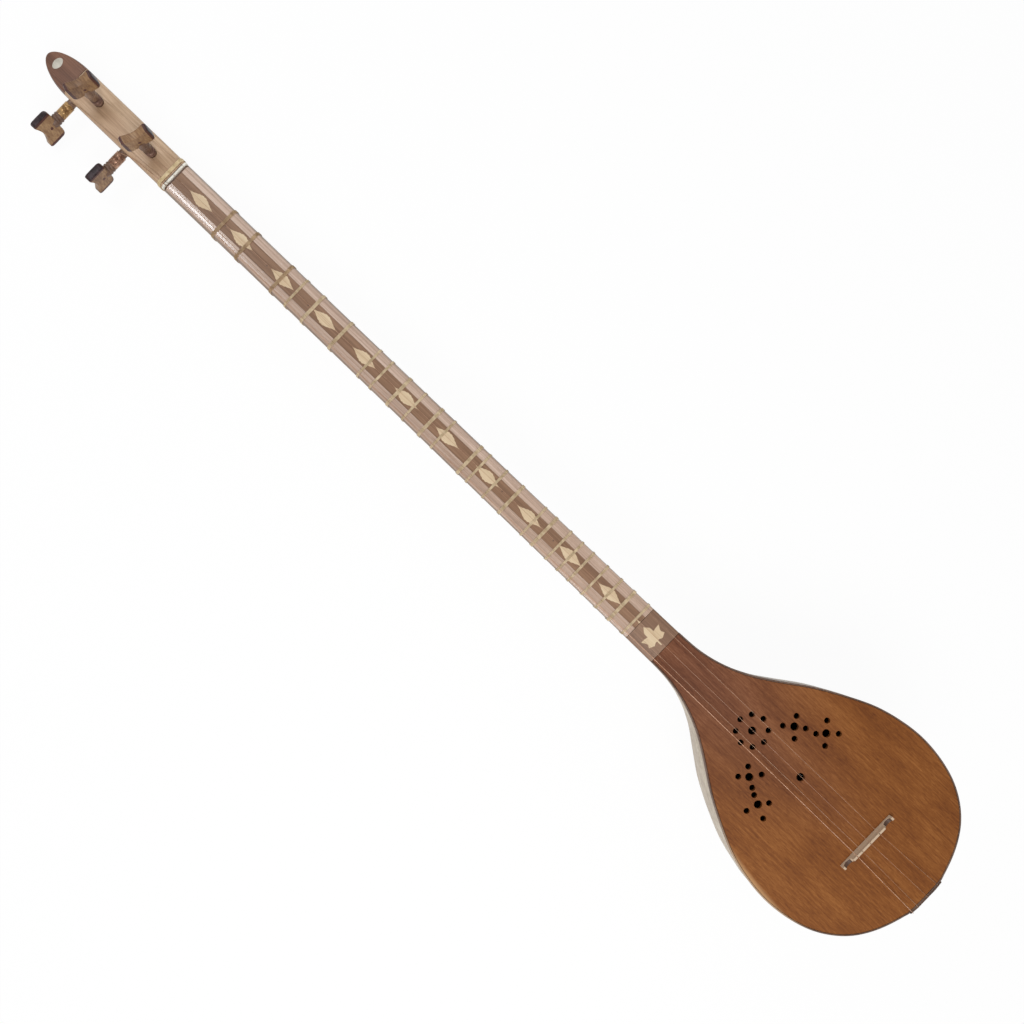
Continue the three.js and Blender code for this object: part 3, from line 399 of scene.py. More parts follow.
def head_outline():
    return mirrored(half_outline(10.2, 12.2, 21, 4, 0))


def grown(outline, distance):
    """A section outline moved out by a distance."""
    result = []
    for i, (y, z) in enumerate(outline):
        before, after = outline[i - 1], outline[(i + 1) % len(outline)]
        direction = Vector((after[0] - before[0], after[1] - before[1])).normalized()
        result.append((y - direction.y * distance, z + direction.x * distance))
    return result


# Finishes


def rgb(screen):
    """A colour written as it shows on a screen, 0 to 255, as Blender's linear values."""
    shares = [value / 255 for value in screen]
    return (*(s / 12.92 if s <= 0.04045 else ((s + 0.055) / 1.055) ** 2.4 for s in shares), 1.0)


class Finish:
    """A procedural material under construction: nodes are added, joined and set by name."""

    def __init__(self, name, roughness=0.5, metallic=0.0, coat=0.0):
        self.material = bpy.data.materials.new(name)
        self.material.use_nodes = True
        self.tree = self.material.node_tree
        self.shader = self.tree.nodes["Principled BSDF"]
        self.shader.inputs["Roughness"].default_value = roughness
        self.shader.inputs["Metallic"].default_value = metallic
        self.shader.inputs["Coat Weight"].default_value = coat
        self.shader.inputs["Coat Roughness"].default_value = 0.12

    def join(self, socket, value):
        if isinstance(value, bpy.types.NodeSocket):
            self.tree.links.new(value, socket)
        else:
            socket.default_value = value

    def node(self, kind, settings=None, **inputs):
        node = self.tree.nodes.new(kind)
        for key, value in (settings or {}).items():
            setattr(node, key, value)
        for key, value in inputs.items():
            self.join(node.inputs[key.replace("_", " ")], value)
        return node

    def mapping(self, **inputs):
        return self.node("ShaderNodeMapping", {"vector_type": "TEXTURE"}, **inputs).outputs["Vector"]

    def place(self):
        """Coordinates on the level instrument, in metres."""
        own = self.node("ShaderNodeTexCoord").outputs["Object"]
        return self.mapping(Vector=own, Location=ORIGIN, Rotation=(0, TILT, 0))

    def axes(self):
        return self.node("ShaderNodeSeparateXYZ", Vector=self.place()).outputs

    def noise(self, size, detail=3.0, roughness=0.5, distortion=0.0):
        """Noise of a size in metres along, across and out of the instrument."""
        where = self.mapping(Vector=self.place(), Scale=size)
        shape = {"Detail": detail, "Roughness": roughness, "Distortion": distortion}
        return self.node("ShaderNodeTexNoise", Vector=where, Scale=1.0, **shape).outputs["Fac"]

    def ramp(self, value, spread, *colours):
        """Colours in even steps, for values from 0.5 less the spread to 0.5 plus it."""
        node = self.node("ShaderNodeValToRGB", Fac=value)
        elements = node.color_ramp.elements
        while len(elements) < len(colours):
            elements.new(1.0)
        for number, (element, colour) in enumerate(zip(elements, colours)):
            element.position = 0.5 + spread * (2 * number / (len(colours) - 1) - 1)
            element.color = rgb(colour)
        return node.outputs["Color"]

    def level(self, value, low, high, to_low=0.0, to_high=1.0, smooth=False):
        """A value's range taken to another one and held inside it."""
        kind = {"interpolation_type": "SMOOTHSTEP" if smooth else "LINEAR"}
        ends = {"From_Min": low, "From_Max": high, "To_Min": to_low, "To_Max": to_high}
        return self.node("ShaderNodeMapRange", kind, Value=value, **ends).outputs["Result"]

    def blend(self, share, first, second):
        """A mix of two colours, each the output of a node or a colour as it shows on a screen."""
        node = self.node("ShaderNodeMix", {"data_type": "RGBA"})
        self.join(node.inputs[0], share)
        for index, colour in ((6, first), (7, second)):
            self.join(node.inputs[index], rgb(colour) if isinstance(colour, tuple) else colour)
        return node.outputs[2]

    def math(self, kind, first, second=0.0):
        node = self.node("ShaderNodeMath", {"operation": kind})
        self.join(node.inputs[0], first)
        self.join(node.inputs[1], second)
        return node.outputs["Value"]

    def times(self, first, second):
        return self.math("MULTIPLY", first, second)

    def plus(self, first, second):
        return self.math("ADD", first, second)

    def set(self, socket, value):
        self.join(self.shader.inputs[socket], value)

    def stain(self, share, colour):
        """Blend a colour over the finish's own one."""
        own = self.shader.inputs["Base Color"].links[0].from_socket
        self.set("Base Color", self.blend(share, own, colour))

    def bump(self, height, strength, distance):
        node = self.node("ShaderNodeBump", Height=height, Strength=strength, Distance=distance)
        self.set("Normal", node.outputs["Normal"])


def grained_wood(name, dark, middle, light, grain=(0.06, 0.0011, 0.0011), roughness=0.45, coat=0.0):
    """Straight-grained wood: fine long fibres, broader streaks and small pores."""
    finish = Finish(name, roughness=roughness, coat=coat)
    fibres = finish.noise(grain, detail=4.0, roughness=0.6, distortion=0.15)
    broad = finish.noise(tuple(10 * size for size in grain), distortion=0.4)
    fleck = finish.level(finish.noise((0.0045, 0.00035, 0.00035), detail=1.0), 0.62, 0.72)
    tone = finish.plus(finish.times(fibres, 0.5), finish.times(broad, 0.5))
    finish.set("Base Color", finish.ramp(tone, 0.2, dark, middle, light))
    finish.stain(finish.times(fleck, 0.35), dark)
    finish.set("Roughness", finish.level(fibres, 0.3, 0.7, roughness + 0.08, roughness - 0.06))
    finish.bump(finish.plus(fibres, finish.times(fleck, -0.5)), 0.25, 0.0001)
    return finish


def plain_finish(name, first, second, roughness, metallic=0.0):
    """A close-grained finish with slow changes of tone."""
    finish = Finish(name, roughness=roughness, metallic=metallic)
    clouds = finish.noise((0.006, 0.003, 0.003), detail=4.0)
    finish.set("Base Color", finish.ramp(clouds, 0.15, first, second))
    fine = finish.noise((0.0008, 0.0008, 0.0008), detail=2.0)
    finish.set("Roughness", finish.level(fine, 0.3, 0.7, roughness - 0.05, roughness + 0.08))
    finish.bump(fine, 0.1, 0.00005)
    return finish


# Each wood has its name, its dark, middle and light tones, and what sets it apart from plain straight grain.
LINE_TONES = (66, 44, 32), (92, 66, 50), (120, 92, 74)
WOODS = {
    "dark_line": ("Dark line", *LINE_TONES, {}),
    "binding": ("Dark edge line", *LINE_TONES, {}),
    "inside": ("Shaded inside", (14, 9, 7), (22, 15, 11), (30, 21, 16), {"roughness": 0.9}),
    "neck": ("Walnut neck", (140, 108, 80), (182, 150, 120), (212, 184, 152), {"grain": (0.03, 0.0013, 0.0013)}),
    "cap": ("Rosewood cap", (66, 38, 24), (108, 70, 50), (144, 102, 78), {"coat": 0.15}),
    "fingerboard": ("Dark fingerboard", (88, 58, 38), (128, 94, 68), (156, 120, 92), {}),
    "side_strip": (
        "Pale fingerboard", (138, 106, 88), (186, 159, 140), (216, 190, 172), {"roughness": 0.16, "coat": 0.5}
    ),
    "panel": ("Dark panel", (94, 66, 48), (130, 98, 76), (160, 128, 102), {}),
    "inlay": ("Pale inlay", (184, 154, 118), (206, 182, 148), (222, 202, 170), {}),
    "peg": ("Peg wood", (84, 54, 34), (134, 100, 68), (178, 144, 104), {"grain": (0.006, 0.0012, 0.003)}),
    "peg_shaft": ("Peg shaft wood", (74, 48, 38), (112, 84, 66), (148, 118, 94), {"grain": (0.003, 0.002, 0.003)}),
    "peg_line": ("Dark red line", (48, 20, 14), (76, 36, 26), (98, 52, 38), {}),
    "bridge": ("Bridge wood", (166, 142, 116), (196, 172, 146), (216, 196, 172), {"grain": (0.001, 0.03, 0.001)}),
    "tailpiece": ("Dark tailpiece", (50, 30, 20), (76, 50, 34), (98, 68, 48), {}),
}

# Each plain finish has its name, its two tones, its roughness and how metallic it is.
PLAIN_FINISHES = {
    "horn": ("Dark horn", (30, 20, 20), (66, 52, 54), 0.35),
    "bone": ("Bone", (210, 204, 190), (232, 228, 216), 0.3),
    "oval": ("Grey bone", (176, 170, 156), (198, 192, 178), 0.4),
    "gut": ("Gut", (178, 156, 122), (212, 192, 160), 0.4),
    "ring_gut": ("Yellow gut", (188, 164, 122), (224, 204, 164), 0.4),
    "worn_gut": ("Worn gut", (146, 118, 86), (180, 152, 118), 0.45),
    "steel": ("Steel string", (150, 116, 92), (176, 146, 122), 0.5, 0.6),
    "brass": ("Brass string", (172, 128, 100), (202, 164, 138), 0.5, 0.6),
    "gold": ("Wound gold string", (156, 118, 76), (226, 188, 132), 0.3, 0.6),
    "copper": ("Wound copper string", (136, 96, 76), (212, 172, 146), 0.3, 0.6),
    "dull": ("Wound dull string", (92, 64, 54), (140, 108, 92), 0.4, 0.4),
}
FINISHES = {}
# Painted shade: the colour laid on the fingerboard's sides and the neck's lower part.
PAINTED_SHADE_TONE = (92, 76, 64)


def make_finishes():
    for key, (name, *tones, options) in WOODS.items():
        FINISHES[key] = grained_wood(name, *tones, **options)
    for key, values in PLAIN_FINISHES.items():
        FINISHES[key] = plain_finish(*values)
    FINISHES["horn"].shader.inputs["Specular IOR Level"].default_value = 0.2
    FINISHES["board"] = soundboard_finish()
    FINISHES["stave"] = stave_finish()
    paint_shade_and_sheen()


def paint_shade_and_sheen():
    """Paint shade on the fingerboard's sides and the neck's lower part, and paint light on the edge line's +y side."""
    strip = FINISHES["side_strip"]
    # Painted shade on the fingerboard strips' sides, below their face.
    strip.stain(strip.level(strip.axes()["Z"], -0.0003, -0.0014, 0, 0.75, smooth=True), PAINTED_SHADE_TONE)
    neck = FINISHES["neck"]
    where = neck.axes()
    below_head = neck.level(where["X"], 0.001, -0.001, 0, 0.5)
    # Painted shade on the neck's lower part, not on the head.
    neck.stain(neck.times(neck.level(where["Z"], -0.012, -0.005), below_head), PAINTED_SHADE_TONE)
    binding = FINISHES["binding"]
    # Painted light: the edge line is lightened on its +y side.
    binding.stain(binding.times(painted_edge_light(binding), 0.85), (172, 142, 112))


def painted_edge_light(finish):
    """How much painted light lies on the soundboard's edge: on the +y side, before the widest place."""
    where = finish.axes()
    start = finish.level(where["X"], -0.575, -0.615, smooth=True)
    end = finish.level(where["X"], -0.69, -0.655, smooth=True)
    return finish.times(finish.times(start, end), finish.level(where["Y"], 0.02, 0.04))


def soundboard_finish():
    """Thin varnished mulberry: orange towards the tail, violet brown towards the neck, with fine straight grain."""
    finish = Finish("Soundboard wood")
    finish.shader.inputs["Specular IOR Level"].default_value = 0.15
    fibres = finish.noise((0.007, 0.0009, 0.02), detail=5.0, roughness=0.7, distortion=0.8)
    streaks = finish.noise((0.16, 0.0016, 0.05), distortion=0.2)
    clouds = finish.noise((0.05, 0.018, 0.05), distortion=0.5)
    tone = finish.plus(finish.times(fibres, 0.5), finish.times(streaks, 0.22))
    tone = finish.plus(tone, finish.times(clouds, 0.28))
    warm = finish.ramp(tone, 0.16, (92, 48, 20), (123, 72, 31), (150, 96, 48))
    cool = finish.ramp(tone, 0.16, (80, 45, 31), (108, 66, 45), (134, 88, 63))
    where = finish.axes()
    slope = finish.plus(finish.times(where["X"], -0.6), finish.math("ABSOLUTE", where["Y"]))
    finish.set("Base Color", finish.blend(finish.level(slope, 0.3, 0.43, smooth=True), cool, warm))
    # The edge that takes the painted light is close to a parabola about the widest place, in metres.
    widest_place, half_width, bend = -0.67, 0.0789, 1.71
    from_widest = finish.plus(where["X"], -widest_place)
    fall = finish.times(finish.times(from_widest, from_widest), bend)
    inward = finish.math("SUBTRACT", finish.math("SUBTRACT", half_width, fall), where["Y"])
    rim = finish.level(inward, sizes().light_band_width, 0.0, smooth=True)
    # Painted light: a paler band along the soundboard's +y edge.
    finish.stain(finish.times(rim, finish.times(painted_edge_light(finish), 0.9)), (178, 136, 94))
    finish.bump(fibres, 0.25, 0.00008)
    return finish


def stave_finish():
    """Pale staves with long soft grain, each a little lighter or darker."""
    finish = Finish("Bowl stave wood", roughness=0.45)
    fibres = finish.noise((0.05, 0.0014, 0.0014), detail=4.0, roughness=0.55, distortion=0.3)
    broad = finish.noise((0.16, 0.008, 0.008), distortion=0.6)
    tone = finish.plus(finish.times(fibres, 0.5), finish.times(broad, 0.5))
    finish.set("Base Color", finish.ramp(tone, 0.2, (156, 138, 116), (188, 172, 150), (212, 200, 180)))
    stave = finish.node("ShaderNodeAttribute", {"attribute_name": "stave"}).outputs["Fac"]
    finish.stain(finish.times(stave, 0.35), (150, 128, 100))
    where = finish.axes()
    # Painted shade: the staves darken on the -y flank just below the soundboard.
    painted_shade_mask = finish.times(finish.level(where["Y"], -0.005, -0.02), finish.level(where["Z"], -0.016, -0.006))
    finish.stain(finish.times(painted_shade_mask, 0.75), (88, 66, 52))
    finish.set("Roughness", finish.level(fibres, 0.3, 0.7, 0.46, 0.36))
    finish.bump(fibres, 0.15, 0.00008)
    return finish


# Sizes and colours that a user would change


class SETAR_PG_sizes(bpy.types.PropertyGroup):
    # Painted light: width of the paler band painted along the soundboard's +y edge.
    light_band_width: bpy.props.FloatProperty(
        name="Soundboard edge band",
        description="Width of the painted light band along the soundboard's edge",
        default=0.004,
        min=0.001,
        unit="LENGTH",
    )
    stave_crown: bpy.props.FloatProperty(
        name="Stave crown",
        description="How far a stave's middle stands out, as a share of its width",
        default=0.022,
        min=0.0,
        max=0.06,
        subtype="FACTOR",
    )
    winding_loops: bpy.props.IntProperty(
        name="Winding loops",
        description="Loops of the thickest string round its peg",
        default=22,
        min=4,
        max=28,
    )


class SETAR_PG_stage(bpy.types.PropertyGroup):
    floor_colour: bpy.props.FloatVectorProperty(
        name="Floor colour",
        description="Colour of the floor",
        default=(0.9, 0.9, 0.9),
        min=0.0,
        max=1.0,
        subtype="COLOR",
    )
    camera_height: bpy.props.FloatProperty(
        name="Camera height",
        description="Height of the camera above the soundboard",
        default=0.61,
        min=0.2,
        unit="LENGTH",
    )
    lens: bpy.props.FloatProperty(
        name="Lens",
        description="Focal length of the camera on a 36 mm wide picture",
        default=30.81,
        min=10.0,
        unit="CAMERA",
    )


def sizes():
    return bpy.context.scene.setar_sizes


# Body


class SETAR_OT_soundboard(bpy.types.Operator):
    """Make the thin soundboard with its thirty holes"""

    bl_idname = "setar.soundboard"
    bl_label = "Soundboard"

    def execute(self, context):
        edge_loop, *holes = face_loops("soundboard")
        outline = smooth_outline(edge_loop)
        bm = bmesh.new()
        ring = bmesh.ops.create_circle(bm, segments=len(outline), radius=1)["verts"]
        for vert, point in zip(ring, outline):
            vert.co = (point.x, point.y, 0)
        edges = list(bm.edges)
        for hole in holes:
            centre = sum(hole, Vector()) / len(hole)
            radius = max((point - centre).length for point in hole)
            matrix = Matrix.Translation((centre.x, centre.y, 0))
            circle = bmesh.ops.create_circle(bm, segments=28, radius=radius, matrix=matrix)["verts"]
            edges += list(dict.fromkeys(edge for vert in circle for edge in vert.link_edges))
        bmesh.ops.triangle_fill(bm, use_beauty=True, edges=edges)
        made = bmesh.ops.extrude_face_region(bm, geom=list(bm.faces), use_keep_orig=True)["geom"]
        low = [item for item in made if isinstance(item, bmesh.types.BMVert)]
        bmesh.ops.translate(bm, verts=low, vec=(0, 0, -BOARD_THICKNESS))
        turn_outward(bm)
        make_piece("soundboard_plate", mesh_from(bm, "soundboard", 30), "board", "board_wood", "soundboard")
        return {"FINISHED"}


class SETAR_OT_edge_line(bpy.types.Operator):
    """Make the dark line between the soundboard and the bowl"""

    bl_idname = "setar.edge_line"
    bl_label = "Edge line"

    def execute(self, context):
        outlines = [smooth_outline(loop) for loop in face_loops("edge_binding")]
        mesh = flat_mesh("edge_line", outlines, -BOARD_THICKNESS, 0.04, bevel=0.1)
        make_piece("edge_line", mesh, "binding", "binding_wood", "edge_binding")
        return {"FINISHED"}


def long_chains(name):
    """The four long corner lines of a stave, each from the neck to the tail: two outer and two inner."""
    bm = level_copy(name)
    sharp = {edge for edge in bm.edges if edge.calc_face_angle(0.0) > SHARP_CORNER}
    starts = sorted(bm.verts, key=lambda vert: -vert.co.x)[:4]
    chains = []
    for here in starts:
        used = set(starts)
        chain = [here.co.copy()]
        while len(chain) < len(bm.verts) // 4:
            here = next(v for v in partners(here) if v not in used and bm.edges.get((here, v)) in sharp)
            used.add(here)
            chain.append(here.co.copy())
        chains.append(chain)
    bm.free()

    def turn(chain):
        return math.atan2(-(chain[0].z + 2.7), chain[0].y)

    chains.sort(key=lambda chain: math.hypot(chain[0].y, chain[0].z + 10))
    return *sorted(chains[2:], key=turn), *sorted(chains[:2], key=turn)


def fit_cage(obj, rounds=6):
    """Move the corners of a subdivided piece until its smooth surface passes through their first places."""
    wanted = [vert.co.copy() for vert in obj.data.vertices]
    for _ in range(rounds):
        bpy.context.view_layer.update()
        shown = obj.evaluated_get(bpy.context.evaluated_depsgraph_get())
        mesh = shown.to_mesh()
        for vert, place, target in zip(obj.data.vertices, mesh.vertices, wanted):
            vert.co += target - place.co
        shown.to_mesh_clear()
        obj.data.update()


class SETAR_OT_bowl(bpy.types.Operator):
    """Make the eleven bent staves of the bowl"""

    bl_idname = "setar.bowl"
    bl_label = "Bowl"

    def execute(self, context):
        for number in range(1, RIB_COUNT + 1):
            node = f"bowl_rib_{number:02d}"
            crown = 0 if number == FLAT_RIB else sizes().stave_crown
            sections = []
            for a, b, d, c in zip(*long_chains(node)):
                out = (a + b - c - d).normalized()
                middle = (a + b) / 2 + out * (a - b).length * crown
                overlap = (a - b).normalized() * SEAM_OVERLAP
                a = a + overlap * (number > 1)
                b = b - overlap * (number < RIB_COUNT)
                sections.append([a, middle, b, c, (c + d) / 2, d])
            bm = loft(sections)
            crease = bm.edges.layers.float.new("crease_edge")
            tone = bm.verts.layers.float.new("stave")
            around = bm.verts.layers.int["around"]
            for face in bm.faces:
                face.material_index = 1 if min(vert[around] for vert in face.verts) > 2 else 0
            for vert in bm.verts:
                vert[tone] = STAVE_TONES[number - 1]
            bm.verts.index_update()
            for edge in bm.edges:
                stations = {vert.index // len(sections[0]) for vert in edge.verts}
                if edge.calc_face_angle(0.0) > SHARP_CORNER:
                    edge[crease] = 1.0
                    edge.smooth = False
                elif len(stations) == 1:
                    edge[crease] = 1.0 if stations <= REST_STATIONS else STATION_CREASE
            mesh = bpy.data.meshes.new(node)
            bm.to_mesh(mesh)
            bm.free()
            for polygon in mesh.polygons:
                polygon.use_smooth = True
            stave = make_piece(f"stave_{number:02d}", mesh, "stave inside", "rib_wood", node)
            surface = stave.modifiers.new("smooth", "SUBSURF")
            surface.levels = surface.render_levels = 2
            fit_cage(stave)
        return {"FINISHED"}


# Neck, head and fingerboard


def peg_place(name):
    return TO_LEVEL @ Vector(joint(name + "_turn")["pos_m"])


def peg_axis(name):
    return TURN.transposed() @ Vector(joint(name + "_turn")["axis"])


def peg_matrix(name):
    """The place of a peg, with z along its axis out of the head."""
    out = peg_axis(name)
    return Matrix.Translation(peg_place(name)) @ Matrix.Rotation(-math.atan2(out.y, out.z), 4, "X")


class SETAR_OT_neck(bpy.types.Operator):
    """Make the neck and the head from one piece of wood, with the holes of the pegs"""

    bl_idname = "setar.neck"
    bl_label = "Neck and head"

    def execute(self, context):
        stations = [mix(-NECK_LENGTH, 0, k / 14) for k in range(15)]
        sections = [at(x, neck_outline(x, SHAFT_TOP)) for x in stations]
        sections.append(at(HEAD_START, neck_outline(0, SHAFT_TOP)))
        sections.append(at(HEAD_START + 0.02, head_outline()))
        sections.append(at(HEAD_LENGTH, head_outline()))
        cutters = []
        for name in KNOB_TURNS:
            bore = bmesh.new()
            down = Matrix.Translation((0, 0, -12))
            bmesh.ops.create_cone(bore, cap_ends=True, segments=32, radius1=2.8, radius2=3.4, depth=30, matrix=down)
            bore.transform(peg_matrix(name))
            cutters.append(bore)
        mesh = mesh_from(cut_out(loft(sections), cutters), "neck", 30)
        make_piece("neck_and_head", mesh, "neck", "neck_wood", "neck")
        return {"FINISHED"}


class SETAR_OT_head_end(bpy.types.Operator):
    """Make the dark rounded end of the head and the bone oval in it"""

    bl_idname = "setar.head_end"
    bl_label = "Head end"

    def execute(self, context):
        sections = []
        for k in range(15):
            share = math.sin(math.pi / 2 * k / 14 * 0.965)
            size = math.sqrt(1 - share**2)
            sections.append(at(CAP_START + share * CAP_LENGTH, [(y * size, z * size) for y, z in head_outline()]))
        make_piece("head_cap", mesh_from(loft(sections), "cap", 40), "cap", "dark_wood", "head_end_cap")
        points = []
        for k in range(28):
            turn = 2 * math.pi * k / 28
            pinch = abs(math.cos(turn)) ** 1.25
            points.append((112.9 + 3.05 * math.sin(turn), math.copysign(4.55 * pinch, math.cos(turn))))
        mesh = flat_mesh("oval", [points], -0.8, 0.12, bevel=0.1)
        make_piece("head_oval", mesh, "oval", "bone", "head_oval_inlay")
        return {"FINISHED"}


def shoulder(x):
    """The fingerboard's rounded outer side at a place, from the face down."""
    flat_half, half_width, _, drop = neck_sizes(x)
    end = math.acos(1 - FINGERBOARD_THICKNESS / drop)
    turns = [end * k / 5 for k in range(6)]
    return [(flat_half + (half_width - flat_half) * math.sin(turn), -drop * (1 - math.cos(turn))) for turn in turns]


class SETAR_OT_fingerboard(bpy.types.Operator):
    """Make the dark and pale strips of the fingerboard and its row of lozenges"""

    bl_idname = "setar.fingerboard"
    bl_label = "Fingerboard"

    def execute(self, context):
        half, low = CENTRE_STRIP_WIDTH / 2, -FINGERBOARD_THICKNESS
        stations = [mix(-HEAD_START, FINGERBOARD_END, k / 14) for k in range(15)]
        for side, node in ((1, "fingerboard_side_bass"), (-1, "fingerboard_side_treble")):
            bm = loft([at(x, [(half + 0.12, low), (half + 0.12, 0), *shoulder(x)]) for x in stations])
            if side < 0:
                bmesh.ops.scale(bm, vec=(1, -1, 1), verts=bm.verts)
                bmesh.ops.recalc_face_normals(bm, faces=bm.faces)
            make_piece(node + "_strip", mesh_from(bm, node), "side_strip", "pale_wood", node)
        corners = [(-half, low), (half, low), (half, 0), (-half, 0)]
        mesh = mesh_from(slab(corners, -HEAD_START, FINGERBOARD_END), "centre")
        make_piece("fingerboard_centre_strip", mesh, "fingerboard", "dark_wood", "fingerboard_centre")
        for number, middle in enumerate(LOZENGE_PLACES, 1):
            mesh = flat_mesh("lozenge", [lozenge(middle, FINGERBOARD_END + 0.2)], -0.5, 0.03)
            make_piece(f"lozenge_{number:02d}", mesh, "inlay", "pale_wood")
        turns = [2 * math.pi * k / 14 for k in range(14)]
        for number, middle in enumerate(DOT_PLACES, 1):
            dot = [(middle + DOT_RADIUS * math.cos(a), 0.5 + DOT_RADIUS * math.sin(a)) for a in turns]
            make_piece(f"dot_{number}", flat_mesh("dot", [dot], -0.5, 0.03), "dark_line", "dark_wood")
        return {"FINISHED"}


def lozenge(middle, end):
    """A long lozenge with scalloped edges and thin tips, cut off straight at the end of the fingerboard."""
    side = []
    for k in range(41):
        share = k / 40
        scallop = 0.42 * abs(math.sin(math.pi * 4.5 * share)) * (1 - share)
        width = 1.6 * (1 + math.cos(math.pi * share)) + 0.3 * (1 - share) + scallop
        side.append((LOZENGE_HALF_LENGTH * share, width))
    points = side[::-1] + [(-x, y) for x, y in side[1:]]
    points += [(-x, -y) for x, y in side[-2:0:-1]] + [(x, -y) for x, y in side[:-1]]
    return [(middle + x, y) for x, y in points if middle + x >= end]


class SETAR_OT_panel(bpy.types.Operator):
    """Make the dark panel below the fingerboard and the pale leaf in it"""

    bl_idname = "setar.panel"
    bl_label = "Leaf panel"

    def execute(self, context):
        sections = []
        for x in (-NECK_LENGTH + PANEL_LENGTH, -NECK_LENGTH):
            half = shoulder(x)
            sections.append(at(x, half + [(-y, z) for y, z in reversed(half)]))
        make_piece("panel_wood", mesh_from(loft(sections), "panel"), "panel", "dark_wood", "leaf_panel")
        leaf = smooth_outline(face_loops("leaf_inlay")[0], 4, 42)
        make_piece("leaf", flat_mesh("leaf", [leaf], -0.6, 0.04), "inlay", "pale_wood", "leaf_inlay")
        return {"FINISHED"}


class SETAR_OT_nut(bpy.types.Operator):
    """Make the bone nut and the gut ring that holds the strings down behind it"""

    bl_idname = "setar.nut"
    bl_label = "Nut"

    def execute(self, context):
        half = 12.2
        outline = [(-half, -1.8), (half, -1.8), (half, -0.1), (half - 0.4, 0.9), (half - 1.6, NUT_HEIGHT)]
        outline += [(-y, z) for y, z in reversed(outline[2:])]
        blank = slab(outline, -0.8, 0.8)
        soften(blank, blank.edges, 0.25, 2)
        cutters = notch_cutters(0, STRING_NUT_OFFSETS, NUT_HEIGHT, STRING_HEIGHT_AT_NUT, 0.1, 4, 0.7)
        make_piece("bone_nut", mesh_from(cut_out(blank, cutters), "nut", 40), "bone", "bone", "nut")
        top = [(y, z) for y, z in half_outline(*neck_sizes(0), 0) if z > -FINGERBOARD_THICKNESS]
        top = [(0, 0.04), *[(y + 0.03, z + 0.04) for y, z in top], (top[-1][0], -1.9), (0, -1.9)]
        outline = top + [(-y, z) for y, z in reversed(top[1:-1])]
        # Dark strips on both sides of the nut: painted shade along its sides.
        for side, start, end in (("front", -2, -0.84), ("back", 0.84, 2)):
            mesh = mesh_from(slab(outline, start, end), "line", 40)
            make_piece(f"nut_shade_line_{side}", mesh, "dark_line", "binding_wood")
        ring = grown([(y, z) if z < 0 else (y, 0.42) for y, z in head_outline()], 0.35)
        routes = [(at(4.3 + (turn - 1.5) * 0.66, ring), True) for turn in range(4)]
        mesh = tube_mesh("hold_ring", routes, 0.33)
        make_piece("hold_ring_gut", mesh, "ring_gut", "gut", "string_hold_ring")
        return {"FINISHED"}


class SETAR_OT_frets(bpy.types.Operator):
    """Tie the gut frets round the neck, in four or five turns each"""

    bl_idname = "setar.frets"
    bl_label = "Frets"

    def execute(self, context):
        for number in range(1, FRET_COUNT + 1):
            node = f"fret_{number:02d}"
            bm = level_copy(node)
            places = [vert.co.x for vert in bm.verts]
            bm.free()
            width = max(places) - min(places)
            middle = (max(places) + min(places)) / 2
            turns = 5 if width > 2.1 else 4
            radius = width / turns / 2
            routes = []
            for turn in range(turns):
                x = middle + (turn - (turns - 1) / 2) * 2 * radius
                routes.append((at(x, grown(neck_outline(x, 0), 0.06 + radius)), True))
            look = "worn_gut" if number <= 3 else "gut"
            make_piece(node + "_gut", tube_mesh(node, routes, radius * 1.02), look, "gut", node, body=node)
        return {"FINISHED"}


# Bridge and tailpiece


def bezier(a, b, c, d, share):
    rest = 1 - share
    return a * rest**3 + 3 * b * share * rest**2 + 3 * c * share**2 * rest + d * share**3


class SETAR_OT_bridge(bpy.types.Operator):
    """Make the small loose bridge with its hollowed shoulders and four notches"""

    bl_idname = "setar.bridge"
    bl_label = "Bridge"

    def execute(self, context):
        half, lip, lip_height, top_half = 24.6, 23, 4.2, 15.5
        pull = 0.53
        right = [(half, 0.02), (half, lip_height), (lip, lip_height)]
        for k in range(1, 13):
            y = bezier(lip, lip, top_half, top_half, k / 12)
            right.append((y, bezier(lip_height, pull, pull, BRIDGE_HEIGHT, k / 12)))
        bm = slab(right + [(-y, z) for y, z in reversed(right)], -1.8, 1.8)
        for vert in bm.verts:
            vert.co.x *= mix(1, 1.6 / 3.6, vert.co.z / BRIDGE_HEIGHT)
        bm.transform(Matrix.Translation((-SCALE_LENGTH, BRIDGE_OFFSET, 0)))
        heights = BRIDGE_HEIGHT, STRING_HEIGHT_AT_BRIDGE
        bm = cut_out(bm, notch_cutters(-SCALE_LENGTH, STRING_BRIDGE_OFFSETS, *heights, 0.28, 6, 0.6))
        # Painted shade: the hollows' upward faces take the dark tailpiece wood.
        for face in bm.faces:
            middle = face.calc_center_median()
            in_hollow = top_half + 1 < abs(middle.y - BRIDGE_OFFSET) < lip
            face.material_index = 1 if in_hollow and face.normal.z > 0.2 else 0
        mesh = mesh_from(bm, "bridge", 30)
        piece = make_piece("bridge_wood", mesh, "bridge tailpiece", "bridge_wood", "bridge", body="bridge")
        bevel = piece.modifiers.new("soften", "BEVEL")
        bevel.width = 0.0002
        bevel.segments = 2
        bevel.limit_method = "ANGLE"
        return {"FINISHED"}


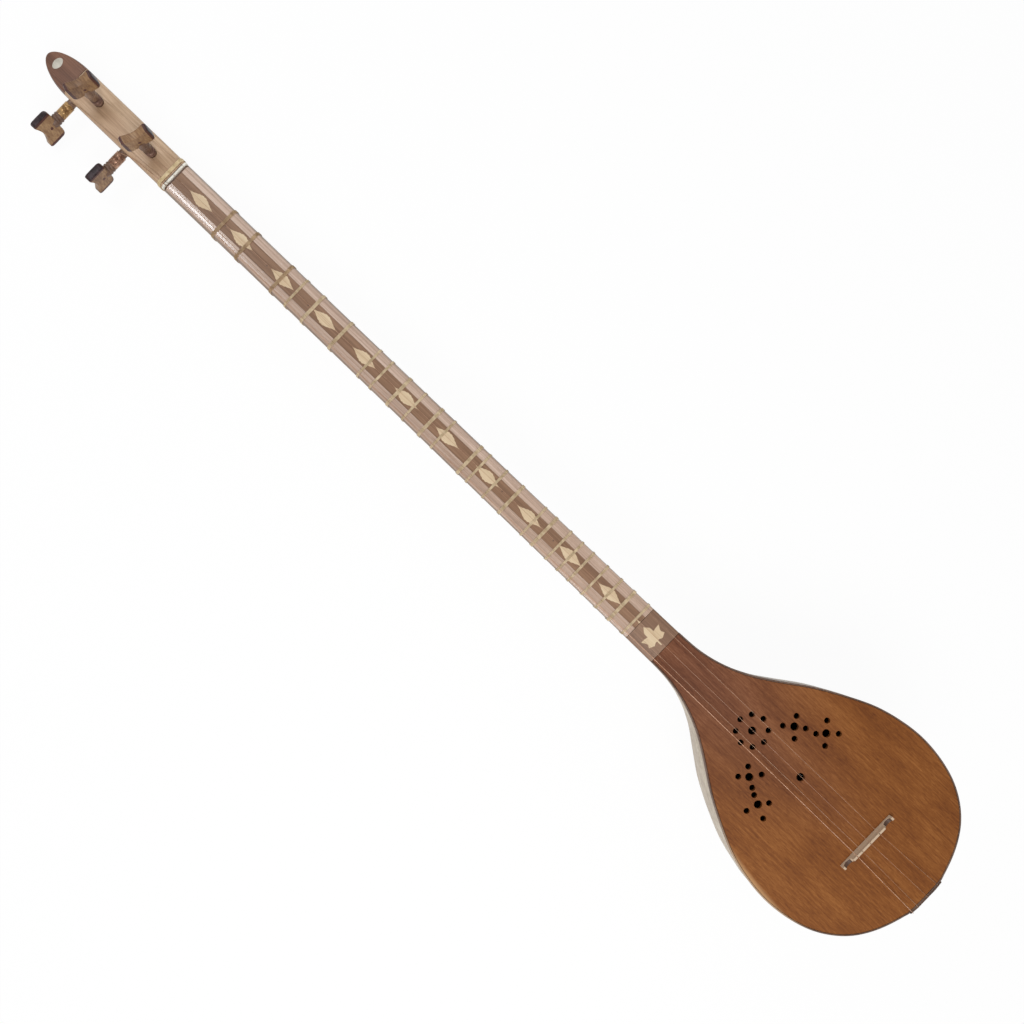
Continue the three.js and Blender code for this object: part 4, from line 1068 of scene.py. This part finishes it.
class SETAR_OT_tailpiece(bpy.types.Operator):
    """Make the dark tailpiece with the four pins that the strings loop round"""

    bl_idname = "setar.tailpiece"
    bl_label = "Tailpiece"

    def execute(self, context):
        outline = [(15.5, 0.2), (15.5, -7.2), (14.8, -8.5), (13.6, -8.8)]
        outline += [(-y, z) for y, z in reversed(outline)]
        back = TAILPIECE_FACE + TAILPIECE_THICKNESS
        bm = slab(outline, TAILPIECE_FACE, back)
        soften(bm, bm.edges, 0.35, 3)
        for side in (-1, 1):
            geom = [*bm.verts, *bm.edges, *bm.faces]
            bmesh.ops.bisect_plane(bm, geom=geom, plane_co=(0, side * 9, 0), plane_no=(0, 1, 0))
        for vert in bm.verts:
            thinner = mix(1, 0.45, max((abs(vert.co.y) - 9) / 6.5, 0) ** 1.5)
            vert.co.x = mix(back, vert.co.x, thinner)
        for offset in STRING_TAIL_OFFSETS:
            place = Matrix.Translation((TAILPIECE_FACE - 0.9, offset, PIN_HEIGHT))
            matrix = place @ Matrix.Rotation(math.pi / 2, 4, "Y")
            pin = bmesh.ops.create_cone(bm, cap_ends=True, segments=20, radius1=1, radius2=1, depth=2.3, matrix=matrix)
            rim = dict.fromkeys(e for v in pin["verts"] for e in v.link_edges if e.calc_face_angle(0.0) > 1)
            soften(bm, rim, 0.25, 2)
        make_piece("tailpiece_bar", mesh_from(bm, "tailpiece", 40), "tailpiece", "dark_wood", "tailpiece")
        return {"FINISHED"}


# Pegs and strings


def peg_radius(out):
    """The radius of a peg's shaft at a distance out of the head's face, or into it."""
    far, end = (3.75, KNOB_START) if out >= 0 else (2.6, -24.4)
    return mix(PEG_RADIUS_AT_FACE, far, out / end)


def turned_shaft(inside):
    """The peg's turned shaft: a tapered stem with rings below the knob."""
    profile = [(0.0, 0.6 - inside), (peg_radius(-inside) - 0.4, 0.6 - inside), (peg_radius(-inside), 1.0 - inside)]
    profile += [(peg_radius(out), out) for out in (-8, 0, 4, 8, 12.2)]
    for start in (12.6, 14.9):
        for k in range(7):
            turn = math.pi * k / 6
            profile.append((peg_radius(start) + 0.4 * math.sin(turn), start + 1.0 - 0.9 * math.cos(turn)))
    profile += [(3.9, 17.0), (3.95, 17.9), (3.2, 20.5), (0.0, 20.5)]
    bm = bmesh.new()
    verts = [bm.verts.new((radius, 0, out)) for radius, out in profile]
    for ends in zip(verts, verts[1:]):
        bm.edges.new(ends)
    geom = [*bm.verts, *bm.edges]
    full = {"cent": (0, 0, 0), "axis": (0, 0, 1), "angle": 2 * math.pi, "use_merge": True}
    bmesh.ops.spin(bm, geom=geom, steps=28, **full)
    bmesh.ops.remove_doubles(bm, verts=bm.verts, dist=0.001)
    bmesh.ops.recalc_face_normals(bm, faces=bm.faces)
    return bm


def knob():
    """The flat knob with a hollowed outer end. Its ears and the line before them get their own finishes."""
    low, high, half = KNOB_START, KNOB_END, 10.4
    right = [(0, low), (4.2, low), (7.6, low + 0.15), (9.3, low + 0.8), (10.2, low + 2.1), (half, low + 4.6)]
    right += [(half, high - 3.2), (10.15, high - 1.2), (9.4, high - 0.15), (8.1, high - 0.1), (5.8, high - 1.15)]
    right += [(3.0, high - 2.2), (0, high - 2.6)]
    outline = smooth_outline(right + [(-x, z) for x, z in reversed(right[1:-1])], 3, 80)
    bm = loft([[(p.x, y, p.y) for p in outline] for y in (-2.7, 2.7)])
    soften(bm, [edge for edge in bm.edges if abs(edge.verts[0].co.y - edge.verts[1].co.y) < 0.1], 0.9, 4)
    for cut in (-EAR_START, -EAR_LINE, EAR_LINE, EAR_START):
        geom = [*bm.verts, *bm.edges, *bm.faces]
        bmesh.ops.bisect_plane(bm, geom=geom, plane_co=(cut, 0, 0), plane_no=(1, 0, 0))
    for face in bm.faces:
        reach = abs(face.calc_center_median().x)
        face.material_index = 1 if reach > EAR_START else 2 if reach > EAR_LINE else 0
    return bm


class SETAR_OT_pegs(bpy.types.Operator):
    """Turn the four pegs, with their horn ears and the dot in each knob"""

    bl_idname = "setar.pegs"
    bl_label = "Pegs"

    def execute(self, context):
        for name, degrees in KNOB_TURNS.items():
            shaft = turned_shaft(21 if "front" in name else 24.4)
            for face in shaft.faces:
                face.material_index = 3
            bm = joined([shaft, knob()])
            through = Matrix.Translation((0, 0, 23)) @ Matrix.Rotation(math.pi / 2, 4, "X")
            round_dot = {"segments": 20, "radius1": 1.1, "radius2": 1.1, "depth": 5.46}
            dot = bmesh.ops.create_cone(bm, cap_ends=True, matrix=through, **round_dot)
            for face in {face for vert in dot["verts"] for face in vert.link_faces}:
                face.material_index = 2
            bm.transform(peg_matrix(name) @ Matrix.Rotation(math.radians(degrees), 4, "Z"))
            mesh = mesh_from(bm, name, 40)
            make_piece(name + "_wood", mesh, "peg horn peg_line peg_shaft", "peg_wood", name, body=name)
        return {"FINISHED"}


def winding(peg, diameter, loops, first):
    """Loops of a string round its peg, from the knob's side down to where the string leaves."""
    steps = 24
    radius = peg_radius(9) + diameter / 2 + 0.03
    pitch = diameter * 1.12
    points = []
    for i in range(loops * steps + 1):
        turn = 2 * math.pi * i / steps
        side = first * math.cos(turn) + Vector((1, 0, 0)) * math.sin(turn)
        points.append(peg_place(peg) + side * radius + peg_axis(peg) * (2.4 + pitch * i / steps))
    return points[::-1]


class SETAR_OT_strings(bpy.types.Operator):
    """Run the four strings from the tailpiece to their pegs and wind them on"""

    bl_idname = "setar.strings"
    bl_label = "Strings"

    def execute(self, context):
        for i, name in enumerate(STRING_NAMES):
            peg = STRING_PEGS[i]
            place, out = peg_place(peg), peg_axis(peg)
            on_side = "side" in peg
            first = Vector((0, out.z, -out.y)) * (-1 if on_side else math.copysign(1, STRING_NUT_OFFSETS[i]))
            diameter = STRING_DIAMETERS[i]
            loops = round(sizes().winding_loops * (1 if on_side else 0.6) * 0.4 / diameter)
            route = winding(peg, diameter, loops, first)
            lift = diameter / 2
            at_nut, tail = STRING_NUT_OFFSETS[i], STRING_TAIL_OFFSETS[i]
            if on_side:
                route.append((place.x - 13, 11.1, 0.3 + lift))
            route += [
                (6, at_nut + (0.15 if on_side else 0), 0.04 + lift),
                (2.6, at_nut, 0.04 + lift),
                (0, at_nut, STRING_HEIGHT_AT_NUT),
                (-SCALE_LENGTH, STRING_BRIDGE_OFFSETS[i], STRING_HEIGHT_AT_BRIDGE),
                (TAILPIECE_FACE + TAILPIECE_THICKNESS, tail, 0.3 + lift),
                (TAILPIECE_FACE + 0.3, tail, 0.3 + lift),
                (TAILPIECE_FACE - lift - 0.1, tail, -0.2),
                (TAILPIECE_FACE - lift - 0.1, tail, -3.4),
            ]
            for k in range(13):
                turn = math.pi / 2 + 2 * math.pi * k / 12
                y, z = tail + 1.25 * math.cos(turn), PIN_HEIGHT + 1.25 * math.sin(turn)
                route.append((TAILPIECE_FACE - lift - 0.35, y, z))
            metal = "brass" if i in (0, 2) else "steel"
            looks = metal + " " + ["copper", "gold", "dull", "dull"][i]
            wire = make_piece(name + "_wire", tube_mesh(name, [(route, False)], lift), looks, metal, name)
            for polygon in wire.data.polygons:
                away = TO_LEVEL @ polygon.center - place
                polygon.material_index = 1 if away.length < 15 and away.dot(out) > 2 else 0
        return {"FINISHED"}


# Stage


def area_lamp(name, where, target, size, power, colour=(1, 1, 1)):
    lamp = bpy.data.lights.new(name, "AREA")
    lamp.shape = "DISK"
    lamp.size = size
    lamp.energy = power
    lamp.color = colour
    place = TO_ROW @ Vector(where)
    aim = (TO_ROW @ Vector(target)) - place
    turned = aim.to_track_quat("-Z", "Y").to_matrix().to_4x4()
    placed(name, lamp).matrix_world = Matrix.Translation(place) @ turned


def floor_finish(colour):
    """A pale floor that the camera sees near white, also in reflections."""
    finish = Finish("Pale floor", roughness=0.9)
    finish.shader.inputs["Base Color"].default_value = (*colour, 1)
    rays = finish.node("ShaderNodeLightPath").outputs
    seen = finish.math("MAXIMUM", rays["Is Camera Ray"], rays["Is Glossy Ray"])
    seen = finish.math("MAXIMUM", seen, rays["Is Transmission Ray"])
    blend = finish.node("ShaderNodeMixShader", Fac=finish.times(seen, 0.94))
    finish.join(blend.inputs[1], finish.shader.outputs["BSDF"])
    finish.join(blend.inputs[2], finish.node("ShaderNodeEmission").outputs["Emission"])
    finish.join(finish.tree.nodes["Material Output"].inputs["Surface"], blend.outputs["Shader"])
    return finish


class SETAR_OT_stage(bpy.types.Operator):
    """Set the floor, the lamps and the camera"""

    bl_idname = "setar.stage"
    bl_label = "Stage"

    def execute(self, context):
        stage = context.scene.setar_stage
        bm = bmesh.new()
        bmesh.ops.create_grid(bm, x_segments=2, y_segments=2, size=4)
        floor = placed("floor", mesh_from(bm, "floor"))
        floor.data.materials.append(floor_finish(stage.floor_colour).material)

        world = bpy.data.worlds.new("Studio")
        world.use_nodes = True
        background = world.node_tree.nodes["Background"]
        background.inputs["Color"].default_value = (1, 1, 1, 1)
        background.inputs["Strength"].default_value = 0.48
        context.scene.world = world

        area_lamp("Key lamp", (-800, 500, 900), (-400, 0, 0), 0.7, 7.5)
        area_lamp("Fill lamp", (200, -400, 1000), (-300, 0, 0), 1.2, 2.6)
        area_lamp("Glint lamp", (284, 58, 610), (-25, 7, 0), 0.16, 0.7, (0.88, 0.94, 1))

        camera_data = bpy.data.cameras.new("Camera")
        camera_data.sensor_width = 36
        camera_data.lens = stage.lens
        camera = placed("Camera", camera_data)
        place = Vector((-332, 60, stage.camera_height / MM))
        middle = Vector((-331.55, 6.05, 0))
        view = Vector((0, 0, -1))
        up = Vector((0.69283, -0.72111, 0)).normalized()
        right = view.cross(up)
        picture_width = camera_data.sensor_width / stage.lens * place.z
        camera_data.shift_x = (middle - place).dot(right) / picture_width
        camera_data.shift_y = (middle - place).dot(up) / picture_width
        turned = TURN.to_4x4() @ Matrix((right, up, -view)).transposed().to_4x4()
        camera.matrix_world = Matrix.Translation(TO_ROW @ place) @ turned
        context.scene.camera = camera
        context.scene.view_settings.view_transform = "Standard"
        return {"FINISHED"}


OPERATORS = [
    SETAR_OT_soundboard,
    SETAR_OT_edge_line,
    SETAR_OT_bowl,
    SETAR_OT_neck,
    SETAR_OT_head_end,
    SETAR_OT_fingerboard,
    SETAR_OT_panel,
    SETAR_OT_nut,
    SETAR_OT_frets,
    SETAR_OT_bridge,
    SETAR_OT_tailpiece,
    SETAR_OT_pegs,
    SETAR_OT_strings,
    SETAR_OT_stage,
]


class SETAR_PT_panel(bpy.types.Panel):
    """Lists the sizes and the pieces of the setar"""

    bl_idname = "SETAR_PT_panel"
    bl_label = "Setar"
    bl_space_type = "VIEW_3D"
    bl_region_type = "UI"
    bl_category = "Setar"

    def draw(self, context):
        for group in (context.scene.setar_sizes, context.scene.setar_stage):
            for key in group.bl_rna.properties.keys():
                if key not in ("rna_type", "name"):
                    self.layout.prop(group, key)
        for operator in OPERATORS:
            self.layout.operator(operator.bl_idname)


CLASSES = [SETAR_PG_sizes, SETAR_PG_stage, *OPERATORS, SETAR_PT_panel]


def register():
    for cls in CLASSES:
        bpy.utils.register_class(cls)
    bpy.types.Scene.setar_sizes = bpy.props.PointerProperty(type=SETAR_PG_sizes)
    bpy.types.Scene.setar_stage = bpy.props.PointerProperty(type=SETAR_PG_stage)


def unregister():
    del bpy.types.Scene.setar_sizes
    del bpy.types.Scene.setar_stage
    for cls in reversed(CLASSES):
        bpy.utils.unregister_class(cls)


def main():
    register()
    make_finishes()
    for operator in OPERATORS:
        getattr(bpy.ops.setar, operator.bl_idname.removeprefix("setar."))()


if __name__ == "__main__":
    main()
